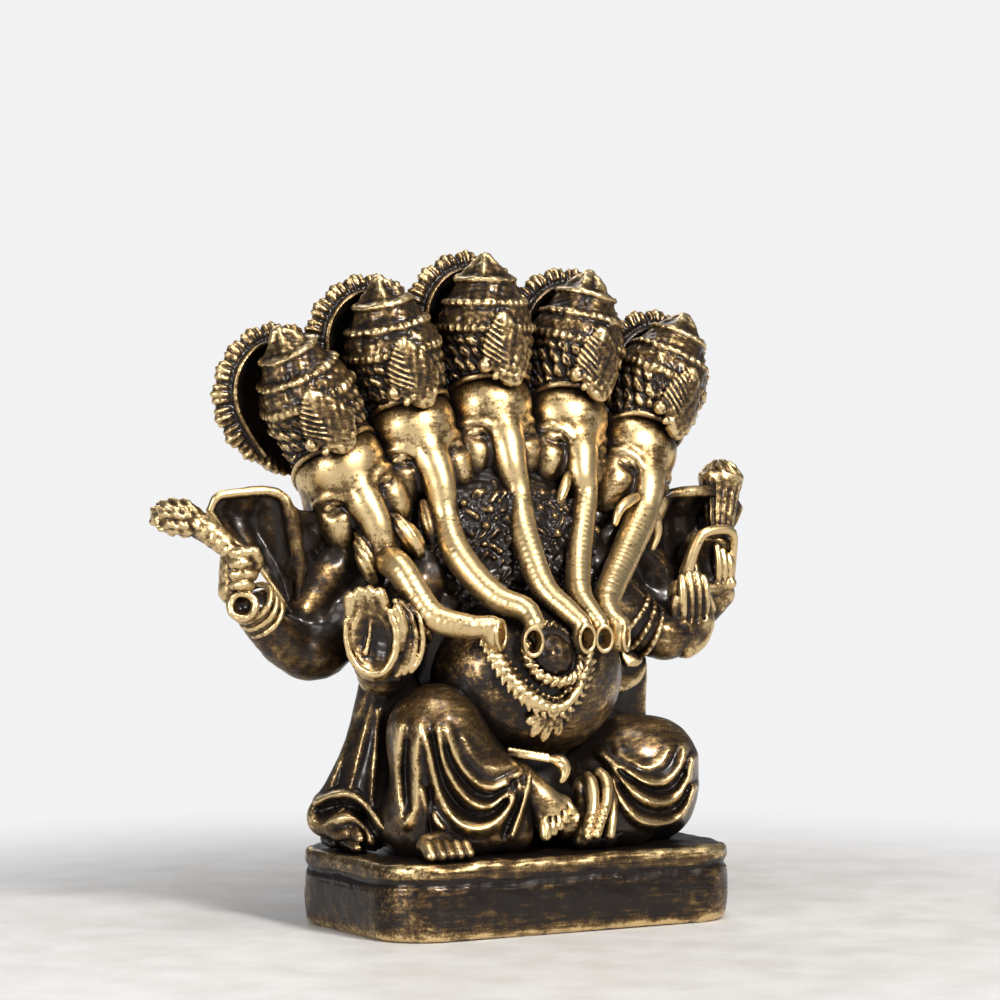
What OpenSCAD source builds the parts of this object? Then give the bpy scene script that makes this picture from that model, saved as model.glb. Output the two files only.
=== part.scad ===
// Seated five-headed elephant deity on a plinth, as a set of separate cast members.
// +Z is up, the front faces -Y, and the origin is the middle of the plinth's underside.
// "Right" and "left" are the figure's own, so its right side lies towards -X.

/* [Plinth] */
// Width of the plinth
base_w = 86; // [82:1:92]
// Depth of the plinth
base_d = 50; // [48:1:56]
// Height of the plinth
base_h = 17; // [16:0.5:18]
// Radius of the plinth's vertical corners
base_corner = 9; // [6:1:12]
// Height of the slab above the plinth's groove
slab_h = 4.5; // [3:0.5:6]
// Depth of the plinth's groove
groove = 0.8; // [0.4:0.1:1.2]

/* [Heads] */
// Distance from the fan's pivot to the foot of the middle crown
fan_r = 91.6; // [91:0.1:94]
// Angle between neighbouring heads
fan_step = 13.2; // [13:0.1:14]
// How much nearer to the pivot each head is than its inner neighbour
fan_drop = 1.9; // [0:0.1:2]
// How much less the heads on the figure's left drop than those on its right
fan_lift = 1.2; // [0:0.1:1.6]
// How much further round each head looks than its inner neighbour
head_turn = 6.5; // [0:0.5:8]
// Radius of a skull
skull_r = 9.6; // [9:0.1:10]
// Depth of the heads behind the middle of the plinth
head_y = 14; // [12:0.5:15]

/* [Crowns] */
// Radius of a crown's lowest tier
crown_r = 10.2; // [9:0.1:10.4]
// Height of a crown above its band
crown_h = 28; // [25:0.5:29]
// Outer radius of a halo, without its lobes
halo_r = 13.4; // [13:0.1:14]
// Thickness of a halo plate
halo_t = 3.6; // [3:0.1:4]
// Number of lobes round a halo's arch
halo_lobes = 13; // [9:2:15]

/* [Body] */
// Half width of the belly
belly_w = 22; // [20:0.5:23]
// Height of the belly's centre above the floor
belly_z = 54; // [52:0.5:56]

/* [Hidden] */
pivot_z = 26;
gold = "darkgoldenrod";
bronze = "saddlebrown";
dark = "dimgray";
ball_fn = 10;
fine_fn = 8;
arc_fn = 48;
gap = 0.05;

// Where head h (1 to 5, from the figure's right) stands in the fan.
function fan_angle(h) = (h - 3) * fan_step;
function fan_reach(h) = fan_r - fan_drop * abs(h - 3) + fan_lift * max(0, h - 3);
module at_head(h) {
    translate([0, 0, pivot_z]) rotate([0, fan_angle(h), 0])
        translate([0, head_y, fan_reach(h)]) children();
}

// The same place, for what turns outwards with the face.
module at_face(h) {
    at_head(h) rotate([0, 0, (h - 3) * head_turn]) children();
}

// A ball at a point [x, y, z, radius].
module ball(p, fn = ball_fn) {
    translate([p[0], p[1], p[2]]) sphere(r = p[3], $fn = fn);
}
// Limbs and cords: balls joined one after another.
module chain(points, fn = ball_fn) {
    for (i = [0 : len(points) - 2]) hull() {
        ball(points[i], fn);
        ball(points[i + 1], fn);
    }
}
// One convex mass round a set of balls.
module mass(points, fn = ball_fn) {
    hull() for (p = points) ball(p, fn);
}
// An egg with three radii.
module egg(centre, radii, fn = 16) {
    hull() translate(centre) scale(radii) sphere(r = 1, $fn = fn);
}

// ---------------------------------------------------------------- plinth
module plinth_outline(inset = 0) {
    r = base_corner - inset;
    x = base_w / 2 - base_corner;
    y = base_d / 2 - base_corner;
    square([2 * (x + r), 2 * y], center = true);
    square([2 * x, 2 * (y + r)], center = true);
    for (sx = [-1, 1]) for (sy = [-1, 1]) translate([sx * x, sy * y]) circle(r = r, $fn = arc_fn);
}
module plinth() {
    groove_z = base_h - slab_h;
    color(bronze) {
        linear_extrude(height = groove_z - 1) plinth_outline();
        linear_extrude(height = groove_z) plinth_outline(groove);
        translate([0, 0, groove_z]) linear_extrude(height = slab_h) plinth_outline();
    }
}

// ---------------------------------------------------------------- trunk
// Centre lines of the trunks from the face to the curled end, as [x, y, z, radius].
trunks = [
    [[-33.1, 2, 90.5, 4], [-31.2, -4.6, 78, 3.6], [-27.6, -11, 68, 3.3],
     [-21.5, -16, 66.4, 2.8], [-15.8, -18.6, 66.4, 2.2]],
    [[-17, 1.6, 92, 3.9], [-16.4, -4.8, 80, 3.3], [-12.2, -12, 72, 3],
     [-7.4, -17.2, 69.4, 2.5], [-7.3, -20.8, 65.8, 2.1]],
    [[1, 1.6, 95, 3.9], [-0.8, -4.8, 84, 3.2], [-0.2, -12, 73.8, 2.8],
     [3.2, -17.2, 68.6, 2.4], [4.8, -20.7, 65.4, 2]],
    [[18.6, 1.6, 92, 3.7], [13, -5, 81, 3], [8.6, -12.5, 72.4, 2.6],
     [8.8, -17.8, 68.2, 2.3], [9.8, -20.3, 65, 1.9]],
    [[34, 2, 90.5, 4.1], [24, -5, 78.4, 3.4], [15.9, -12, 70.7, 2.9],
     [14.4, -16.5, 67.2, 2.4], [15.4, -19.2, 64.8, 2]]
];
curl_r = 2.6;
curl_t = 2.6;
module trunk(h) {
    path = trunks[h - 1];
    tip = path[4];
    chain(path);
    // The curled end is a ring that opens to the front.
    translate([tip[0], tip[1], tip[2] - curl_r]) rotate([90, 0, 0])
        cylinder(r = curl_r, h = curl_t, center = true, $fn = 20);
}

// ---------------------------------------------------------------- heads
module face(h) {
    at_face(h) {
        egg([0, 0, -4.4], [skull_r, skull_r, 10.4]);
        mass([[0, -4.4, -8, 4.8], [0, -8.4, -15.4, 4.2], [0, -4, -12, 6]], fine_fn);
        for (side = [-1, 1]) {
            mass([[side * 5, -2, -9, 5], [side * 4.2, -3, -17, 4.4], [0, 2, -14, 6]], fine_fn);
        }
        mass([[0, 1, -12, 7], [0, 1, -22, 6]], fine_fn);
    }
    hull() {
        at_face(h) ball([0, -7.6, -14, 4.4]);
        ball(trunks[h - 1][0]);
    }
    trunk(h);
}
// Flat cut where the crown sits on the skull.
module crown_seat(h, over = 0) {
    at_head(h) translate([0, 0, 10 - over]) cylinder(r = 16, h = 20, center = true, $fn = 24);
}
module head(h) {
    color(gold) difference() {
        face(h);
        crown_seat(h);
        tusk_pair(h, gap);
        if (h != 3) face(h < 3 ? h + 1 : h - 1);
        belly_solid();
        sweet_bowl_solid();
    }
}

// Short tusks, one each side of the trunk's root.
tusk_at = [5.1, -9.6, -20.6];
tusk_lean = [-16, 8, 0];
module tusk_pair(h, over = 0) {
    at_face(h) for (side = [-1, 1])
        translate([side * tusk_at[0], tusk_at[1], tusk_at[2]])
            rotate([tusk_lean[0], side * tusk_lean[1], 0]) rotate_extrude($fn = 24)
                polygon([[0, -7.6 - over], [0.9 + over, -6.8], [1.6 + over, -2],
                         [1.8 + over, 2.4], [0, 3 + over]]);
}
module tusks(h) {
    color(gold) tusk_pair(h);
}

// ---------------------------------------------------------------- ears
// Large ears spread from the outer heads, hollow towards the front.
module ear_solid(side) {
    difference() {
        union() {
            mass([[side * 67, 9, 93, 1.6], [side * 52, 8, 95, 1.8],
                  [side * 56, 13, 82, 1.6], [side * 64, 13, 84, 1.6]]);
            mass([[side * 52, 8, 95, 1.8], [side * 50.4, 8, 71, 1.4], [side * 56, 13, 82, 1.6]]);
            mass([[side * 67, 9, 93, 1.6], [side * 64, 12, 84, 1.6],
                  [side * 50.4, 8, 71, 1.4], [side * 56, 13, 82, 1.6]]);
        }
        egg([side * 57.4, 5.2, 85], [7.4, 5.6, 9]);
    }
}
module ear(side) {
    color(gold) difference() {
        ear_solid(side);
        face(side < 0 ? 1 : 5);
        torso_solid();
        if (side < 0) {
            right_rear_arm_solid();
            right_rear_hand_solid();
        }
        if (side > 0) {
            left_rear_arm_solid();
            left_rear_hand_solid();
            left_lotus_solid(gap);
        }
        halo_solid(side < 0 ? 1 : 5);
    }
}

// ---------------------------------------------------------------- crowns and halos
// Each tier's outline, as [share of the crown's radius, height on a crown tier_h high].
tier_h = 27;
tiers = [
    [0, 0], [0.86, 0], [0.9, 1.6], [1, 3], [1, 9], [0.9, 11], [0.84, 12.2], [0.86, 13.4],
    [0.66, 16], [0.62, 17.2], [0.64, 18.4], [0.4, 20.4], [0.36, 21.4], [0.3, 22.6], [0, 27]
];
module crown_solid(over = 0) {
    rotate_extrude($fn = arc_fn)
        polygon([for (t = tiers) [t[0] * crown_r + (t[0] > 0 ? over : 0), t[1] * crown_h / tier_h]]);
}
module crown(h) {
    color(bronze) difference() {
        at_head(h) crown_solid();
        at_face(h) crest_solid(gap);
    }
}
// Leaf-shaped crest on the front of each crown.
crest_r = 9.6;
crest_shift = 4.4;
crest_mid = 7;
crest_t = 2.8;
crest_in = 1.6;
module crest_outline(over = 0) {
    intersection_for (side = [-1, 1])
        translate([side * crest_shift, crest_mid]) circle(r = crest_r + over, $fn = arc_fn);
}
module crest_solid(over = 0) {
    translate([0, -crown_r + crest_in, 0.6]) rotate([90, 0, 0])
        linear_extrude(height = crest_t) crest_outline(over);
}
module crest(h) {
    color(gold) at_face(h) crest_solid();
}
// Scalloped plate that stands behind each crown, leaning outwards on the outer heads.
halo_mid = 12.9;
halo_lean = 1.2;
halo_y = 9;
halo_rim = 3;
halo_sink = 1;
lobe_r = 2.3;
lobe_spread = 250;
module at_halo(h) {
    at_head(h) translate([(h - 3) * halo_lean, halo_y, halo_mid]) rotate([90, 0, 0]) children();
}
module halo_solid(h) {
    at_halo(h) linear_extrude(height = halo_t, center = true) {
        circle(r = halo_r, $fn = arc_fn);
        translate([0, -7]) circle(r = halo_r - 2, $fn = arc_fn);
        for (i = [0 : halo_lobes - 1]) {
            a = 90 - lobe_spread / 2 + lobe_spread * i / (halo_lobes - 1);
            translate([halo_r * cos(a), halo_r * sin(a)]) circle(r = lobe_r, $fn = arc_fn);
        }
    }
}
// The round space that a halo leaves in the one behind it.
module halo_room(h) {
    at_halo(h) cylinder(r = halo_r + lobe_r + gap, h = 2 * halo_t, center = true, $fn = arc_fn);
}
module halo(h) {
    color(bronze) difference() {
        halo_solid(h);
        at_head(h) crown_solid(gap);
        at_halo(h) translate([0, 0, halo_t / 2])
            cylinder(r = halo_r - halo_rim, h = 2 * halo_sink, center = true, $fn = arc_fn);
        if (h < 3) halo_room(h + 1);
        if (h > 3) halo_room(h - 1);
    }
}

// ---------------------------------------------------------------- body
module torso_solid() {
    egg([0, 7, 76], [27, 11.5, 24]);
    mass([[0, 12, 70, 10], [-36, 12, 92, 8], [36, 12, 92, 8], [0, 12, 102, 8]]);
    mass([[-16, 6, 30, 9], [16, 6, 30, 9], [-18, 8, 70, 9], [18, 8, 70, 9]]);
}
module torso() {
    color(bronze) difference() {
        torso_solid();
        belly_solid();
        for (h = [1 : 5]) face(h);
        right_rear_arm_solid();
        right_front_arm_solid();
        left_rear_arm_solid();
        left_front_arm_solid();
        right_leg_solid();
        left_leg_solid();
        base_cut();
        back_cloak_solid();
        for (h = [1 : 5]) halo_solid(h);
    }
}
module belly_solid() {
    egg([0, -3.5, belly_z], [belly_w, 17.5, 18.5], 22);
}
module belly() {
    color(bronze) difference() {
        belly_solid();
        sweet_bowl_solid(gap);
        for (h = [1 : 5]) trunk_tip_cut(h);
    }
}
module trunk_tip_cut(h) {
    tip = trunks[h - 1][4];
    translate([tip[0], tip[1], tip[2] - curl_r]) rotate([90, 0, 0])
        cylinder(r = curl_r + gap, h = curl_t + 2 * gap, center = true, $fn = 20);
}
module base_cut() {
    translate([0, 0, base_h - 20]) cube([200, 200, 40], center = true);
}
module back_cloak_solid() {
    mass([[-22, 17, 20, 4], [22, 17, 20, 4], [-20, 17, 60, 5], [20, 17, 60, 5]]);
    mass([[-20, 17, 60, 5], [20, 17, 60, 5], [-38, 19, 96, 4], [38, 19, 96, 4], [0, 19, 108, 4]]);
}
module back_cloak() {
    color(bronze) difference() {
        back_cloak_solid();
        for (h = [1 : 5]) {
            halo_solid(h);
            face(h);
        }
        right_leg_solid();
        left_leg_solid();
        right_rear_arm_solid();
        left_rear_arm_solid();
        base_cut();
    }
}
module waist_knot() {
    color(gold) difference() {
        chain([[-4.6, -17.4, 37.6, 1.3], [-1.4, -19.6, 37, 2.2], [1, -20, 34, 1.7],
               [-2.4, -20.6, 31.4, 1.1]]);
        belly_solid();
        right_foot_solid();
        right_leg_solid();
        left_leg_solid();
    }
}

// ---------------------------------------------------------------- legs
module right_leg_solid() {
    mass([[-16, 6, 30, 11], [-25, -8, 43.5, 9], [-28, -6, 26, 8]]);
    mass([[-25, -8, 43.5, 9], [-8.6, -15, 31, 4.6], [-28, -12, 24, 6], [-20, -16.6, 23.4, 4.6]]);
    mass([[-28, -6, 24, 9], [-30, 2, 22, 6], [-16, 6, 24, 8], [-18, -14, 20, 5]]);
    mass([[-8.6, -15, 31, 4.6], [-8, -16.6, 22, 3.4], [-20, -16.6, 21, 4.6]]);
}
module right_leg() {
    color(bronze) difference() {
        right_leg_solid();
        belly_solid();
        base_cut();
        left_foot_solid();
    }
}
module left_leg_solid() {
    mass([[16, 6, 30, 11], [31, -5, 33, 10], [24, -4, 34, 10]]);
    mass([[31, -5, 33, 10], [31.6, -6, 25, 9.4], [20, -12, 24, 7], [24, -9, 33, 8]]);
    mass([[20, -12, 24, 7], [4, -13, 22, 5], [20, 0, 24, 8]]);
}
module left_leg() {
    color(bronze) difference() {
        left_leg_solid();
        right_leg_solid();
        belly_solid();
        base_cut();
        right_foot_solid();
        dhoti_pleats_solid();
    }
}
module right_foot_solid() {
    mass([[-7.6, -17, 30, 3.2], [-3, -19, 25, 3], [1.6, -17.4, 28, 2.8]]);
    for (toe = [0 : 4]) {
        mass([[-2.4 + toe * 1.6, -19.4, 22.6 + toe * 1.5, 1.5],
              [-1 + toe * 1.9, -20.6 + toe * 0.3, 20 + toe * 1.9, 1.3]], fine_fn);
    }
}
module right_foot() {
    color(gold) difference() {
        right_foot_solid();
        right_leg_solid();
        base_cut();
    }
}
module left_foot_solid() {
    mass([[-26, -15, 20.4, 3.2], [-31, -15, 20, 3]]);
    for (toe = [0 : 4]) {
        mass([[-33 + toe * 2.4, -17, 20, 1.9],
              [-33.4 + toe * 2.5, -21, 19, 1.6 + toe * 0.12]], fine_fn);
    }
}
module left_foot() {
    color(gold) difference() {
        left_foot_solid();
        base_cut();
    }
}
module dhoti_pleats_solid() {
    for (pleat = [0 : 2]) {
        chain([[9 + pleat * 2.2, -16, 31 - pleat, 1.6], [8 + pleat * 2.6, -20, 25, 1.5],
               [5.4 + pleat * 3, -21, 19, 1.6]], fine_fn);
    }
    mass([[9, -14, 30, 2], [14, -14, 28, 2], [6, -18, 19, 2], [12, -18, 19, 2]]);
}
module dhoti_pleats() {
    color(gold) difference() {
        dhoti_pleats_solid();
        right_foot_solid();
        right_leg_solid();
        belly_solid();
        base_cut();
    }
}

// ---------------------------------------------------------------- shawls and mouse
module shawl_solid(side) {
    mass([[side * 30, 6, 54, 4], [side * 26, 10, 40, 5], [side * 34, 10, 34, 3]]);
    mass([[side * 34, 10, 34, 3], [side * 26, 10, 40, 5], [side * 40, 14, 25, 2.4],
          [side * 40, 12, 19, 2], [side * 33, -2, 19, 2.6], [side * 28, 10, 20, 5]]);
}
module shawl(side) {
    color(bronze) difference() {
        shawl_solid(side);
        torso_solid();
        back_cloak_solid();
        armlets_solid(side);
        if (side < 0) {
            right_leg_solid();
            right_front_arm_solid();
            right_rear_arm_solid();
            mouse_solid();
        }
        if (side > 0) {
            left_leg_solid();
            left_front_arm_solid();
            left_rear_arm_solid();
        }
        belly_solid();
        base_cut();
    }
}
module mouse_solid() {
    mass([[-36.4, 8, 21, 3.6], [-35.6, 14, 22, 4.4]]);
    mass([[-36.4, 8, 21, 3.6], [-37.4, 1.6, 19.6, 1.7]]);
    for (side = [-1, 1]) {
        ball([-37 + side * 2.6, 6.4, 24.4, 1.7]);
        mass([[-36.8 + side * 2, 3, 18, 1.4], [-36.8 + side * 2, 0, 17.8, 1.1]], fine_fn);
    }
    chain([[-35, 18, 20, 1.2], [-32, 20.6, 19, 1], [-28, 21.6, 18.4, 0.8]], fine_fn);
}
module mouse() {
    color(gold) difference() {
        mouse_solid();
        right_leg_solid();
        back_cloak_solid();
        base_cut();
    }
}

// ---------------------------------------------------------------- arms
module right_rear_arm_solid() {
    chain([[-25, 12, 78, 7], [-36, 11, 66, 6.6], [-46, 9, 59.6, 5.8],
           [-55, 7, 63.4, 5], [-62, 4.6, 70, 4]]);
}
module right_rear_arm() {
    color(bronze) difference() {
        right_rear_arm_solid();
        right_rear_hand_solid();
        right_front_hand_solid();
        face(1);
    }
}
module right_front_arm_solid() {
    chain([[-21, 4, 76, 6.6], [-29, 1, 64, 6], [-34, -2, 55.4, 5], [-37.6, -3.6, 57.4, 4]]);
}
module right_front_arm() {
    color(bronze) difference() {
        right_front_arm_solid();
        right_front_hand_solid();
        right_rear_arm_solid();
        belly_solid();
        for (h = [1 : 2]) face(h);
        right_leg_solid();
    }
}
module left_rear_arm_solid() {
    chain([[25, 12, 78, 7], [35, 11, 66, 6.4], [45, 10, 63.6, 5.2],
           [52, 9, 65.6, 4.6], [57, 8, 69, 3.8]]);
}
module left_rear_arm() {
    color(bronze) difference() {
        left_rear_arm_solid();
        left_rear_hand_solid();
        face(5);
        left_front_hand_solid();
    }
}
module left_front_arm_solid() {
    chain([[21, 4, 76, 6.6], [29, 1, 65, 6], [38, -1, 60.6, 4.6], [42, -1.6, 62, 4.4]]);
}
module left_front_arm() {
    color(bronze) difference() {
        left_front_arm_solid();
        left_front_hand_solid();
        left_rear_arm_solid();
        belly_solid();
        for (h = [4 : 5]) face(h);
        left_leg_solid();
    }
}

// ---------------------------------------------------------------- hands
// Four fingers wrapped round a shaft, one above the other.
finger_step = 3.2;
module fist_solid(side, centre) {
    translate(centre) {
        for (finger = [0 : 3]) {
            z = 5 - finger * finger_step;
            mass([[side * 2.2, -2, z, 1.9], [-side * 2.2, -2.6, z, 1.9]], fine_fn);
        }
        mass([[0, 2, 4, 3], [0, 2, -3, 3.2]]);
        translate([0, -0.4, -6.4]) cylinder(r = 3.4, h = 3, center = true, $fn = 24);
    }
}
module right_rear_hand_solid() {
    fist_solid(-1, [-65, 2.4, 76]);
}
module right_rear_hand() {
    color(gold) difference() {
        right_rear_hand_solid();
        right_club_solid(gap);
    }
}
module left_rear_hand_solid() {
    fist_solid(1, [59.6, 7, 75.6]);
}
module left_rear_hand() {
    color(gold) difference() {
        left_rear_hand_solid();
        left_lotus_solid(gap);
        left_front_hand_solid();
    }
}
// Open palm with four fingers together, turned towards the worshipper.
module palm_solid(turn, side) {
    rotate([0, 0, turn]) {
        mass([[-2.6, 0, -4, 3.2], [2.6, 0, -4, 3.2], [-3.4, 0, 3, 2.6], [3.4, 0, 3, 2.6], [0, 0.4, -6.6, 3]]);
        for (finger = [0 : 3]) {
            x = -3.9 + finger * 2.6;
            top = 9.6 - abs(finger - 1.4);
            chain([[x, 0, 2.6, 1.7], [x * 0.9, -0.4, 7, 1.6], [x * 0.8, -1.8, top, 1.4]], fine_fn);
        }
        chain([[side * 4.6, 0, -3, 1.9], [side * 6.4, -1.4, 0.6, 1.6],
               [side * 6.4, -2, 4, 1.3]], fine_fn);
    }
}
module right_front_hand_solid() {
    translate([-39.6, -7, 65.4]) palm_solid(-28, 1);
}
module right_front_hand() {
    color(gold) difference() {
        right_front_hand_solid();
        right_rear_arm_solid();
    }
}
module left_front_hand_solid() {
    translate([43.4, -2.4, 66.6]) palm_solid(12, -1);
}
module left_front_hand() {
    color(gold) left_front_hand_solid();
}

// Three bands round each front arm, open where the arm goes through.
module armlets_solid(side) {
    for (band = [0 : 2]) {
        translate([side * (30.4 + band * 2), 0.4 - band, 62 - band * 3.2])
            rotate([12, side * -34, 0]) cylinder(r = 6.9 - band * 0.3, h = 1.9, center = true, $fn = 32);
    }
}
module right_armlets() {
    color(gold) difference() {
        armlets_solid(-1);
        right_front_arm_solid();
    }
}
module left_armlets() {
    color(gold) difference() {
        armlets_solid(1);
        left_front_arm_solid();
    }
}

// ---------------------------------------------------------------- what the hands hold
module right_club_solid(over = 0) {
    translate([-65, 3, 80]) rotate([-30, -52, 0]) rotate_extrude($fn = 32)
        polygon([[0, -4], [1.9 + over, -4], [2.1 + over, 3], [3.6 + over, 5.6], [4.4 + over, 10],
                 [4.8 + over, 14], [4.2 + over, 17], [2.4 + over, 18.6], [0, 19.2]]);
}
module right_club() {
    color(gold) right_club_solid();
}
module left_lotus_solid(over = 0) {
    translate([58.6, 8, 78]) rotate([-12, 10, 0]) rotate_extrude($fn = 32)
        polygon([[0, -4], [1.9 + over, -4], [2 + over, 3], [3 + over, 6], [4.2 + over, 12], [5 + over, 16],
                 [4.8 + over, 18.6], [3 + over, 20.8], [0, 21.8]]);
}
module left_lotus() {
    color(gold) left_lotus_solid();
}

// ---------------------------------------------------------------- ornaments on the front
bowl_at = [0.6, -17.4, 58.6];
module bowl_place() {
    translate(bowl_at) rotate([58, 0, 0]) children();
}
module sweet_bowl_solid(over = 0) {
    bowl_place() rotate_extrude($fn = 40)
        polygon([[0, -3 - over], [4 + over, -3 - over], [6.6 + over, -0.6], [7.4 + over, 2.2],
                 [6 - over, 2.2], [5.4 - over, 0.6], [0, 0.6]]);
}
module sweet_bowl() {
    color(gold) difference() {
        sweet_bowl_solid();
        for (h = [1 : 5]) trunk_tip_cut(h);
    }
}
module sweet() {
    color(dark) difference() {
        bowl_place() rotate_extrude($fn = 32)
            polygon([[0, 0.6], [4.6, 0.6], [4.6, 1.4], [3.4, 3.4], [1.6, 4.4], [0, 4.6]]);
        for (h = [1 : 5]) trunk_tip_cut(h);
        face(2);
        face(3);
    }
}
strand = [[-17, -15.4, 66, 1.2], [-15, -17.6, 60, 1.4], [-10.4, -20, 53, 1.6], [-4.6, -21.4, 47.4, 1.8],
          [1.4, -21.4, 49, 1.6], [8.4, -20.2, 54, 1.5], [13.6, -17.4, 60, 1.4]];
module necklace() {
    color(gold) difference() {
        chain(strand, fine_fn);
        belly_solid();
        sweet_bowl_solid(gap);
        for (h = [1 : 5]) face(h);
    }
}
module pendant() {
    color(gold) difference() {
        mass([[-5.4, -21.4, 44.6, 1.5], [-2.8, -21.4, 44.6, 1.5],
              [-4.6, -20.6, 40.6, 1.1]], fine_fn);
        chain(strand, fine_fn);
        belly_solid();
    }
}
bead_top = 80;
bead_rows = 2;
bead_step = 4.4;
module chest_beads() {
    color(gold) difference() {
        for (row = [0 : bead_rows - 1]) {
            z = bead_top - row * bead_step;
            chain([[-25, -1, z - 2, 2], [-12, -4.6, z, 2], [0, -5.6, z, 2], [12, -4.6, z, 2],
                   [25, -1, z - 2, 2]], fine_fn);
        }
        torso_solid();
        belly_solid();
        for (h = [1 : 5]) face(h);
        right_front_arm_solid();
        left_front_arm_solid();
    }
}

// ---------------------------------------------------------------- drawing
plinth();
torso();
belly();
waist_knot();
back_cloak();
right_leg();
left_leg();
right_foot();
left_foot();
dhoti_pleats();
shawl(-1);  // shawl_right
shawl(1);  // shawl_left
mouse();
right_rear_arm();
right_front_arm();
left_rear_arm();
left_front_arm();
right_rear_hand();
right_front_hand();
left_rear_hand();
left_front_hand();
right_armlets();
left_armlets();
right_club();
left_lotus();
sweet_bowl();
sweet();
necklace();
pendant();
chest_beads();
ear(-1);  // right_ear
ear(1);  // left_ear
for (h = [1 : 5]) {
    head(h);
    tusks(h);
    crown(h);
    crest(h);
    halo(h);
}
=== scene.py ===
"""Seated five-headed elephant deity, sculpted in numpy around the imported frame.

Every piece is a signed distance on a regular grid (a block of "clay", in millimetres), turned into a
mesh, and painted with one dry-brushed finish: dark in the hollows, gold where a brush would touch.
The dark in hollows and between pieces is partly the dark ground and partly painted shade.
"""
import math
from concurrent.futures import ThreadPoolExecutor

import bpy
import numpy as np
import openvdb as vdb
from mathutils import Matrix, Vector


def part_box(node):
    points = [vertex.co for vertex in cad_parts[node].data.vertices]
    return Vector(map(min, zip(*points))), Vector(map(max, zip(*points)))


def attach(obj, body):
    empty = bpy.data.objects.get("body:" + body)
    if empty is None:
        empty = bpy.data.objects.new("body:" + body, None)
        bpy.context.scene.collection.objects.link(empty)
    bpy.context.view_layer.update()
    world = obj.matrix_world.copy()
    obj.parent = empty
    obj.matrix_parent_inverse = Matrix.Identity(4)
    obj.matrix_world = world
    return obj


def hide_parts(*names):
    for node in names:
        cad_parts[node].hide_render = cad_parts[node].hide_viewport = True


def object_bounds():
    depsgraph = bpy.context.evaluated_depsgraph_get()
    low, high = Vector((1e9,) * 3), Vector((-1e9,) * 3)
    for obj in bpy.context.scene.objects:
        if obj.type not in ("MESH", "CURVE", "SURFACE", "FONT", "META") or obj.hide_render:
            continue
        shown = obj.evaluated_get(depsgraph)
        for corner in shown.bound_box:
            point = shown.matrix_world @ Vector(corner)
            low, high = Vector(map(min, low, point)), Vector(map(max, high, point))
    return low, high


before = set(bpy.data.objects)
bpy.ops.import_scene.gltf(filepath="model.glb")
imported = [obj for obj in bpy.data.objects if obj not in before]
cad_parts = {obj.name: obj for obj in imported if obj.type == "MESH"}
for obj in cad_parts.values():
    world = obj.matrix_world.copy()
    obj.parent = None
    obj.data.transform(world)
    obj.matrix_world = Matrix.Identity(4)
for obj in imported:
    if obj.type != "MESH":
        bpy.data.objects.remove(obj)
cad_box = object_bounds()

# ------------------------------------------------------------------ driving sizes, millimetres
MM = 0.001
FAN_PIVOT_Z = 26.0
FAN_STEP = 13.2
FAN_REACH = 91.6
FAN_DROP = 1.9
FAN_LIFT = 1.2
HEAD_Y = 14.0
HALO_R = 13.4
HALO_Y = 9.0
HALO_Z = 12.9
HALO_LEAN = 1.2
HEAD_TURN = 6.5
LOBES = 13
LOBE_SPREAD = 250.0
VIEW_TURN = math.radians(30.2)

PLINTH_TOP = 16.6  # where the figure's lower pieces are cut off, just inside the plinth

# ------------------------------------------------------------------ grids, millimetres
FINE = 0.32
MIDDLE = 0.42
COARSE = 0.6
ROUGHER = 1.0
CELL = 0.8  # of the grid that tells hollows from edges
FAR = 6.0  # the distance that stands for empty air
REACH = 3.2  # how far from its surface a shape is worked out
TINY = 1e-6


def box_mm(node):
    """Lowest corner, highest corner, centre and half size of a CAD node, in millimetres."""
    low, high = (np.array(corner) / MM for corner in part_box(node))
    return low, high, (low + high) / 2, (high - low) / 2


# ------------------------------------------------------------------ shapes
class Shape:
    """A signed distance in millimetres, negative inside, and the box it fills."""

    def __init__(self, low, high, distance):
        self.low = np.asarray(low, float)
        self.high = np.asarray(high, float)
        self.distance = distance

    def on(self, axes):
        x, y, z = axes
        return self.distance(x[:, None, None], y[None, :, None], z[None, None, :])


class Group(Shape):
    """Several shapes as one, joined with a soft seam of the given width."""

    def __init__(self, shapes, seam=0.0):
        self.shapes = shapes
        self.seam = seam
        low = np.min([s.low for s in shapes], axis=0)
        high = np.max([s.high for s in shapes], axis=0)
        super().__init__(low, high, self.whole)

    def whole(self, x, y, z):
        total = self.shapes[0].distance(x, y, z)
        for shape in self.shapes[1:]:
            total = soft_min(total, shape.distance(x, y, z), self.seam)
        return total

    def on(self, axes):
        total = np.full([len(a) for a in axes], FAR, np.float32)
        for shape in self.shapes:
            press(total, axes, shape, self.seam)
        return total


def press(grid, axes, shape, seam, sign=1):
    """Adds a shape to a grid of distances, or cuts it out with a sign of -1."""
    near = tuple(slice(*np.searchsorted(a, (low - REACH - seam, high + REACH + seam)))
                 for a, low, high in zip(axes, shape.low, shape.high))
    if all(s.stop > s.start for s in near):
        inner = shape.on([a[s] for a, s in zip(axes, near)])
        grid[near] = sign * soft_min(sign * grid[near], inner, seam)


def soft_min(a, b, seam):
    """The lesser of two distances, with the corner between them filled to the width of a seam."""
    if seam <= 0:
        return np.minimum(a, b)
    overlap = np.maximum(seam - np.abs(a - b), 0) / seam
    return np.minimum(a, b) - overlap * overlap * (seam / 4)


def ball(x0, y0, z0, r):
    def distance(x, y, z):
        return np.sqrt((x - x0) ** 2 + (y - y0) ** 2 + (z - z0) ** 2) - r
    return Shape((x0 - r, y0 - r, z0 - r), (x0 + r, y0 + r, z0 + r), distance)


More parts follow.
